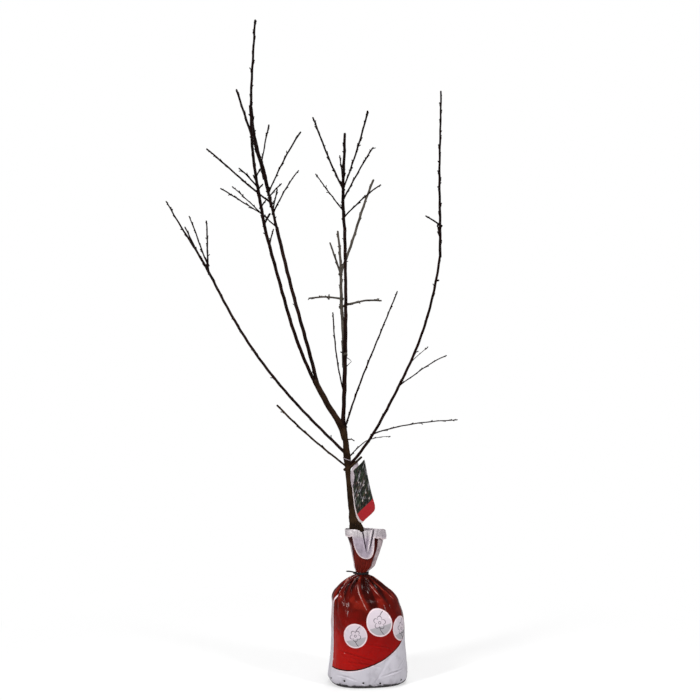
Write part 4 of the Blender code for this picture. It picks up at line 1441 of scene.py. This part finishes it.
# The strap's loose end, from the trunk down over the card's corner: its left and right edges
STRIP = (
    (
        (-0.0280, -0.0100, 0.5279), (-0.0392, -0.0165, 0.5076), (-0.0412, -0.0300, 0.4905),
        (-0.0385, -0.0415, 0.4695),
    ),
    (
        (-0.0243, -0.0100, 0.5272), (-0.0222, -0.0175, 0.5172), (-0.0300, -0.0315, 0.4976),
        (-0.0360, -0.0415, 0.4695),
    ),
)
STRIP_STEPS = 24
STRIP_FOLD = (0.38, 0.0014)  # how far across it is folded, and how far forward


def row_between(row):
    """Where the card starts and ends across, this far down it."""
    for (low, start, end), (high, next_start, next_end) in zip(CARD_ROWS, CARD_ROWS[1:]):
        if row <= high:
            t = (row - low) / (high - low)
            return start + (next_start - start) * t, end + (next_end - end) * t


def make_card(mat):
    """The hanging card: thin, a little bowed, its picture side to the front."""
    across = CARD_ACROSS.normalized()
    down = (CARD_DOWN - across * CARD_DOWN.dot(across)).normalized()
    outward = down.cross(across)
    rings, film = [], []
    for row in shares(CARD_DOWN_STEPS):
        start, end = row_between(row)
        front, places = [], []
        for share in shares(CARD_ACROSS_STEPS):
            wide = across * (CARD_ACROSS.length * (start + (end - start) * share))
            bow = CARD_BOW[0] * math.sin(math.pi * row) + CARD_BOW[1] * math.sin(2.0 * math.pi * share)
            front.append(CARD_CORNER + down * (CARD_DOWN.length * row) + wide + outward * bow)
            places.append((end - start) * share * CARD_ACROSS.length)
        rings.append(front + [point - outward * CARD_THICK for point in reversed(front)])
        film += [(x, row, 1.0) for x in places] + [(x, row, 0.0) for x in reversed(places)]
    shape = Shape()
    shape.add_rings(rings)
    obj = shape.make("label_sheet", mat)
    obj.data.set_sharp_from_angle(angle=CARD_SHARP)
    store(obj, "film", film)
    ride_root(obj, "label", "label_card")


def make_strap(mat, trunk_line):
    """The strap: a thin band round the trunk, and its loose end folded down over the card."""
    middle = point_at_height(trunk_line, STRAP_HEIGHT)
    radius = trunk_radius(STRAP_HEIGHT - TRUNK_FOOT.z, middle) + STRAP_OFF
    half = UP * (STRAP_WIDE / 2)
    shape = Shape()
    rings = []
    for out in outs_round(STRAP_STEPS):
        near = middle + out * radius - UP * (STRAP_TILT * out.x)
        far = near + out * STRAP_THICK
        rings.append([near - half, far - half, far + half, near + half])
    shape.add_rings(rings + rings[:1], capped=False)
    edges = [smooth_line([Vector(point) for point in edge], 0.002) for edge in STRIP]
    rings = []
    for row in shares(STRIP_STEPS):
        a, b = (edge[round(row * (len(edge) - 1))] for edge in edges)
        fold = a.lerp(b, STRIP_FOLD[0]) + FRONT * STRIP_FOLD[1]
        rings.append([a, fold, b] + [point - FRONT * STRAP_THICK for point in (b, fold, a)])
    shape.add_rings(rings)
    ride_root(shape.make("label_loop", mat, smooth=False), "strap", "label_strap")


# The materials of the bag and the label

RED = (0.285, 0.0036, 0.0030)
# Painted light: a brighter red for the left of the red field
LEFT_LIT_RED = (0.385, 0.0075, 0.0055)
MAROON = (0.090, 0.0042, 0.0022)
# Painted highlights along the sharp creases, pink and warmer
CREST_HIGHLIGHT = (0.66, 0.37, 0.33)
CREST_HIGHLIGHT_WARM = (0.34, 0.052, 0.026)
# Painted light: a brighter red for lit patches on the shoulder
SHOULDER_LIT_RED = (0.200, 0.0120, 0.0060)
DEEP = (0.0150, 0.0016, 0.0010)
SHADED = (0.0330, 0.0020, 0.0026)
FOOT = (0.61, 0.585, 0.645)
FOOT_DULL = (0.33, 0.31, 0.35)
# Painted shade for the folds and dents of the pale foot
FOOT_FOLD_SHADE = (0.24, 0.22, 0.26)
GUSSET = (0.60, 0.47, 0.49)
RIM_LINE = (0.80, 0.65, 0.68)
DISC_TOP = (0.66, 0.58, 0.64)
DISC_LOW = (0.42, 0.395, 0.425)
INK = (0.030, 0.022, 0.034)
BLACK_BROWN = (0.020, 0.015, 0.012)
# Painted shade: the collar's red is darker above, under the cuff
COLLAR_REDS = ((0.145, 0.0110, 0.0062), (0.055, 0.0040, 0.0036))  # below and above
COLLAR_PALES = ((0.56, 0.46, 0.48), (0.36, 0.28, 0.31))
# Painted shade: the white inner side as lilac-grey below the cuff
LILAC_SHADES = ((0.30, 0.250, 0.305), (0.47, 0.400, 0.475))
CUFF_WHITE = (0.60, 0.555, 0.565)
# Painted shade on the right of the cuff
CUFF_RIGHT_SHADE = (0.34, 0.275, 0.32)
# Painted shade for fine upright creases
CREASE_STREAK_SHADE = (0.20, 0.155, 0.195)
FLANK = (0.70, 0.62, 0.66)
CUT_EDGE = (0.76, 0.63, 0.65)
# Painted shade in the collar's creases, and a painted highlight on its raised fold
CREASE_SHADE = (0.040, 0.024, 0.044)
RIDGE_HIGHLIGHT = (0.80, 0.71, 0.75)
LINE_HALF = 0.0008
LINE_SOFT = 0.0003
EDGE_SOFT = 0.0004
BORDER_HALF = 0.0022
DISC_SLOPE = (0.22, -0.28)  # how the edge of a disc's greyer part slopes, and how far up it is, in radii
DISC_RIM = (0.0034, 0.0026)  # from and to how far inside its edge the rim softly starts
PETAL_LINE = (0.55, 0.26, 0.20)  # how round the petals are, how long, and from how far out, in radii
HEART = 0.09
TWIG_LINE = (0.95, 0.10, 1.02)  # how far right and down its bend's middle is, and its radius, in radii
# The discs printed on each panel: across, up, radius, and how far their blossom is turned
ROUNDELS = ((-0.042, 0.1260, 0.0285, 0.3), (0.0185, 0.1560, 0.0325, 1.1), (0.0800, 0.1360, 0.0290, 2.2))
# The red field's lower edge: how far left it starts to rise, its power, steepness and height
FIELD_EDGE = (0.060, 1.845, 2.425, 0.0425)
FIELD_LINES = (0.0015, 0.0010)  # half the widths of the dark line inside it and the pale one outside
PANEL_DRAWN = (0.186, 0.226, 0.0, 0.024)  # heights between which the folds draw its side in, and how far
# Heights between which the colours change: the print, and the painted light and shade
TO_MAROON = (0.085, 0.190)
TO_SHOULDER_LIT = (0.165, 0.200)
TO_GUSSET = (0.11, 0.15)
TO_SHOULDER = (0.192, 0.204)
TO_CUFF = (0.342, 0.358)


def add_roundel(g, under, across, up, disc):
    """A pale disc in a white rim, greyer below, with a five-petalled blossom and a twig in thin lines."""
    middle, height, radius, turn = disc
    x, z = across - middle, up - height
    away = g.away(x, z)
    ground = x * DISC_SLOPE[0] + DISC_SLOPE[1] * radius
    body = g.mix((z - ground).step(-0.0008, 0.0008), DISC_LOW, DISC_TOP)
    roundness, long, start = PETAL_LINE
    outline = g.petals(x, z, turn) ** roundness * (long * radius) + start * radius
    blossom = away.band(outline, LINE_HALF, LINE_SOFT)
    heart = away.band(HEART * radius, LINE_HALF * 0.8, LINE_SOFT)
    right, low, bend = TWIG_LINE
    twig = g.away(x - right * radius, z + low * radius).band(bend * radius, LINE_HALF, LINE_SOFT)
    twig *= (away - outline).step(0.0, 0.001)
    body = g.mix(g.most(blossom, heart, twig) * 0.85, body, INK)
    body = g.mix(away.step(*(radius - inside for inside in DISC_RIM)), body, RIM_LINE)
    return g.mix(away.step(radius + EDGE_SOFT, radius - EDGE_SOFT), under, body)


def add_panel(g, across, up, red, under):
    """One printed panel: the red field over a rising edge, lined, with its discs."""
    start, power, steepness, height = FIELD_EDGE
    dark, pale = FIELD_LINES
    above = up - (g.most(across + start, 0.0) ** power * steepness + height)
    for disc in ROUNDELS:
        red = add_roundel(g, red, across, up, disc)
    red = g.mix(above.band(dark, dark, EDGE_SOFT), red, DEEP)
    inside = across.band((PANEL_LEFT + PANEL_RIGHT) / 2, (PANEL_RIGHT - PANEL_LEFT) / 2, EDGE_SOFT)
    over = above.step(-EDGE_SOFT, EDGE_SOFT)
    lined = g.mix(inside * above.band(-pale, pale, EDGE_SOFT), under, RIM_LINE)
    drawn = across - up.step(*PANEL_DRAWN)
    sides = drawn.band(PANEL_LEFT - BORDER_HALF, BORDER_HALF, 0.0005)
    return g.mix(sides * over, g.mix(inside * over, lined, red), RIM_LINE)


def bag_print_material():
    """Printed film: a red field with discs over a pale foot, front and back, and pale gussets, with painted
    light, shade and highlights.
    """
    g = Surface("bag_print", 0.15, 0.12)
    near, far, up = g.film()
    mottle = g.noise(26.0)
    valley, crest = g.stored("valley"), g.stored("crest")
    # Painted light: the red is brighter towards the left
    low = g.mix(near.step(-0.095, 0.030), LEFT_LIT_RED, RED)
    red = g.mix((up + (mottle - 0.5) * 0.10).step(*TO_MAROON), low, MAROON)
    # Painted light: brighter red in patches on the shoulder
    lit = g.noise(40.0, stretch=0.5).step(0.48, 0.62, 0.0, 0.75)
    red = g.mix(lit * up.step(*TO_SHOULDER_LIT), red, SHOULDER_LIT_RED)
    # Painted shade in the folds and the dents
    red = g.mix(valley.step(0.10, 0.95, 0.0, 0.86), red, DEEP)
    # Painted highlights along the sharp creases, broken, pink and warmer in turn
    broken = g.noise(52.0).step(0.40, 0.54, 0.25, 1.0)
    hue = g.mix(g.noise(30.0, 2.0).step(0.46, 0.60), CREST_HIGHLIGHT_WARM, CREST_HIGHLIGHT)
    red = g.mix(crest.step(0.20, 0.90, 0.0, 0.85) * broken, red, hue)
    creases = g.noise(42.0, 5.0, 0.6, stretch=0.55)
    pale = g.mix(up.step(*TO_GUSSET), FOOT, GUSSET)
    pale = g.mix(creases.step(0.50, 0.72, 0.0, 0.45), pale, FOOT_DULL)
    # Painted shade in the folds and dents of the pale foot
    pale = g.mix(valley.step(0.08, 0.60, 0.0, 0.7), pale, FOOT_FOLD_SHADE)
    body = g.mix(up.step(*TO_SHOULDER), pale, red)
    for side in (far, near):
        body = add_panel(g, side, up, red, body)
    holes = 0.0
    for spot, level in HOLES:
        apart = g.away(near - spot, up - level)
        holes = g.most(holes, apart.step(HOLE_RADIUS + LINE_SOFT, HOLE_RADIUS - LINE_SOFT))
    # Darker in a ragged line along the very bottom edge
    ragged_edge = g.noise(70.0, 4.0, 0.65, stretch=2.5)
    body = g.mix((up + ragged_edge * -0.020).step(0.0, -0.0034) * 0.9, body, BLACK_BROWN)
    return g.made(g.mix(holes, body, BLACK_BROWN), mottle * 0.8 + creases * 0.4, 0.0022, 0.26)


def collar_outer_material():
    """The same printed film above the tie: red between pale borders, mottled darker, with painted shade below
    the cuff.
    """
    g = Surface("collar_print", 0.22, 0.10)
    turn, _, up = g.film()
    mottle = g.noise(48.0, 4.0, 0.6)
    border = abs(turn + 0.14).step(0.58, 0.90, 0.0, 0.85)
    # Painted shade: the red is darker higher up under the cuff, and darker still at the sides
    red = g.mix(up.step(0.300, 0.350), *COLLAR_REDS)
    red = g.mix(border * up.step(0.290, 0.315), red, SHADED)
    red = g.mix(mottle.step(0.48, 0.68, 0.0, 0.7), red, DEEP)
    pale = g.mix(mottle.step(0.45, 0.65), *COLLAR_PALES)
    wider = turn.band(-0.50, 1.24, 0.02) * up.step(0.322, 0.338)
    front = g.most(turn.band(-0.19, 0.93, 0.02), wider)
    back = g.math("SUBTRACT", 1.0, turn.band(0.0, 2.20, 0.02))
    return g.made(g.mix(g.most(front, back), pale, red), mottle, 0.0014, 0.5)


def collar_inner_material():
    """The film's white inner side: lilac-grey in painted shade below the cuff, paler along its cut edge, with
    painted shade in its folds and a painted highlight on its raised fold.
    """
    g = Surface("collar_inside", 0.26, 0.25)
    turn, to_edge, up = g.film()
    valley = g.stored("valley")
    mottle = g.noise(52.0, 4.0, 0.6)
    crease_streaks = g.noise(150.0, 4.0, 0.6, stretch=0.16)
    cuff = up.step(*TO_CUFF)
    # Painted shade: lilac-grey below the cuff, white in the cuff
    body = g.mix(cuff * 0.80, mottle.ramp((0.34, LILAC_SHADES[0]), (0.66, LILAC_SHADES[1])), CUFF_WHITE)
    # Painted shade on the right of the cuff
    body = g.mix(turn.step(0.20, 0.42) * cuff * 0.3, body, CUFF_RIGHT_SHADE)
    # Painted shade in thin upright streaks for fine creases
    body = g.mix(crease_streaks.step(0.52, 0.70, 0.0, 0.6), body, CREASE_STREAK_SHADE)
    body = g.mix(turn.step(-0.10, 0.16) * to_edge.step(0.0090, 0.0030) * 0.75, body, FLANK)
    body = g.mix(to_edge.step(0.0014, 0.0034), CUT_EDGE, body)
    # Painted shade in the creases and a painted highlight on the raised fold
    body = g.mix(valley.step(0.0010, 0.0042, 0.0, 0.90), body, CREASE_SHADE)
    body = g.mix(valley.step(-0.0004, -0.0020, 0.0, 0.9), body, RIDGE_HIGHLIGHT)
    return g.made(body, mottle, 0.0014, 0.5)


def strap_material():
    """Clear film, a little milky."""
    g = Surface("strap_film", 0.25, 0.3)
    colour = (0.42, 0.36, 0.39)
    mottle = g.noise(60.0, 4.0, 0.6).ramp((0.3, tuple(c * 0.72 for c in colour)), (0.7, colour))
    return g.made(mottle, g.noise(240.0), 0.0006, 0.5)


def tie_material():
    """Black plastic."""
    g = Surface("tie_black", 0.42, 0.15)
    return g.made(g.noise(900.0, 2.0).ramp((0.3, (0.006, 0.006, 0.007)), (0.7, (0.016, 0.016, 0.018))))


# Pale blossoms scattered in the card's picture: metres from its left edge, share down it
BLOSSOMS = ((0.030, 0.30), (0.047, 0.42), (0.022, 0.50), (0.052, 0.58), (0.036, 0.66), (0.060, 0.72))
PETAL = (0.0012, 0.0014)
LEAVES = (
    (0.00, (0.003, 0.005, 0.003)), (0.34, (0.014, 0.026, 0.012)), (0.58, (0.050, 0.066, 0.036)),
    (0.76, (0.060, 0.028, 0.020)), (0.90, (0.27, 0.255, 0.27)),
)
BAND_TOP = 0.790  # where the red band starts, as a share down the card
CARD_REDS = ((0.30, 0.010, 0.016), (0.38, 0.016, 0.022))
CARD_EDGE = (0.58, 0.50, 0.50)


def card_material():
    """The card: dark leaves with pale blossoms, a white margin, a bare red band; its back is plain."""
    g = Surface("card_print", 0.22, 0.25)
    across, row, front = g.film()
    tilt = {"Vector": g.place(), "Rotation": (0.0, math.radians(32), 0.0), "Scale": (1.0, 1.0, 0.30)}
    leaning = g.node("Mapping", tilt)
    cells = {"Vector": leaning, "Scale": 260.0}
    edges = g.node("TexVoronoi", cells, output="Distance", feature="F1")
    hue = g.parts(g.node("TexVoronoi", cells, output="Color", feature="F1"))[0]
    strokes = g.noise(520.0, 3.0, 0.7, vector=leaning)
    picture = g.mix(strokes.step(0.60, 0.72, 0.0, 0.8), hue.ramp(*LEAVES), (0.22, 0.22, 0.20))
    picture = g.mix(edges.step(0.34, 0.62, 0.0, 0.9), picture, (0.003, 0.004, 0.003))
    for spot, level in BLOSSOMS:
        x, z = across - spot, (row - level) * CARD_DOWN.length
        away = g.away(x, z)
        cover = (away - (g.petals(x, z) * PETAL[0] + PETAL[1])).step(LINE_SOFT, -LINE_SOFT)
        picture = g.mix(cover, picture, (0.48, 0.42, 0.40))
        picture = g.mix(away.step(0.0008, 0.0004), picture, (0.20, 0.05, 0.06))
    red = g.mix(g.noise(420.0, 3.0, 0.6).step(0.35, 0.7), *CARD_REDS)
    face = g.mix(row.step(BAND_TOP - 0.004, BAND_TOP + 0.004), picture, red)
    margin = across - row.step(0.62, 0.92, CARD_MARGIN, CARD_MARGIN * 1.5)
    face = g.mix(margin.step(LINE_SOFT, -LINE_SOFT), face, CARD_EDGE)
    back = g.noise(55.0, 2.0).ramp((0.3, (0.60, 0.58, 0.56)), (0.7, (0.68, 0.66, 0.64)))
    return g.made(g.mix(front, back, face), g.noise(90.0, 2.0), 0.0008, 0.4)


# Floor, lights and camera

CAMERA_AT = Vector((-0.04248, -2.8, 0.79399))
LENS = 60.0
SENSOR = 36.0
AIM = Vector((-0.04, 0.0, 0.5))
FLOOR_HALF = 30.0
FLOOR_FADE = (0.30, 1.20)  # where it starts to melt into the white backdrop, and is one with it
FLOOR_GLOW = 0.5  # how far it is its own light near the bag, so that shadows stay faint
FLOOR_PALE = (0.88, 0.88, 0.88)
FLOOR_GREY = (0.36, 0.36, 0.36)  # what it throws back on the object
SOFT_GREY = 0.24  # what the studio's walls give the object
# Each softbox: where it stands, its width and height, and its power
SOFTBOXES = {
    "key": ((-2.0, -2.1, 1.9), 0.40, 1.8, 78.0),
    "fill": ((2.2, -1.9, 1.5), 0.30, 1.5, 42.0),
    "top": ((0.2, -0.2, 3.2), 1.2, 1.2, 46.0),
    "back": ((0.5, 2.6, 1.9), 1.2, 1.2, 24.0),
}


def make_floor():
    """A plain pale floor that melts into the white backdrop."""
    shape = Shape()
    shape.verts = [Vector((x, y, 0.0)) * FLOOR_HALF for x, y in ((-1, -1), (1, -1), (1, 1), (-1, 1))]
    shape.faces = [(0, 1, 2, 3)]
    g = Surface("floor", 0.9, 0.1)
    distance = g.node("VectorMath", {0: g.place()}, output="Value", operation="LENGTH")
    fade = distance.step(*FLOOR_FADE, FLOOR_GLOW, 1.0)
    mat = g.made(g.mix(g.seen(), FLOOR_GREY, FLOOR_PALE))
    plain = Value(g, g.tree.nodes["Principled BSDF"].outputs[0])
    both = g.node("MixShader", {0: fade * g.seen(), 1: plain, 2: g.node("Emission")})
    g.put(g.tree.nodes["Material Output"].inputs["Surface"], both)
    shape.make("floor", mat, smooth=False)


def make_stage():
    """The floor, a white backdrop with soft grey walls for the object, softboxes and the camera."""
    make_floor()
    scene = bpy.context.scene
    scene.world = bpy.data.worlds.new("studio")
    g = Graph(scene.world)
    back = g.tree.nodes["Background"].inputs
    g.put(back["Strength"], g.seen().step(0.0, 1.0, SOFT_GREY, 1.0))
    g.put(back["Color"], (1.0, 1.0, 1.0))
    for name, (place, wide, tall, power) in SOFTBOXES.items():
        light = bpy.data.lights.new(name, "AREA")
        light.shape = "RECTANGLE"
        light.size = wide
        light.size_y = tall
        light.energy = power
        lamp = bpy.data.objects.new(name, light)
        lamp.location = place
        lamp.rotation_euler = (AIM - Vector(place)).to_track_quat("-Z", "Y").to_euler()
        scene.collection.objects.link(lamp)
    camera = bpy.data.cameras.new("camera")
    camera.lens = LENS
    camera.sensor_width = SENSOR
    eye = bpy.data.objects.new("camera", camera)
    eye.location = CAMERA_AT
    eye.rotation_euler = (math.radians(90), 0.0, 0.0)
    scene.collection.objects.link(eye)
    scene.camera = eye
    scene.view_settings.view_transform = "Standard"


def main():
    lines = make_tree()
    make_bag(bag_print_material())
    make_collar(collar_outer_material(), collar_inner_material())
    make_tie(tie_material())
    make_card(card_material())
    make_strap(strap_material(), lines["trunk"])
    make_stage()


main()
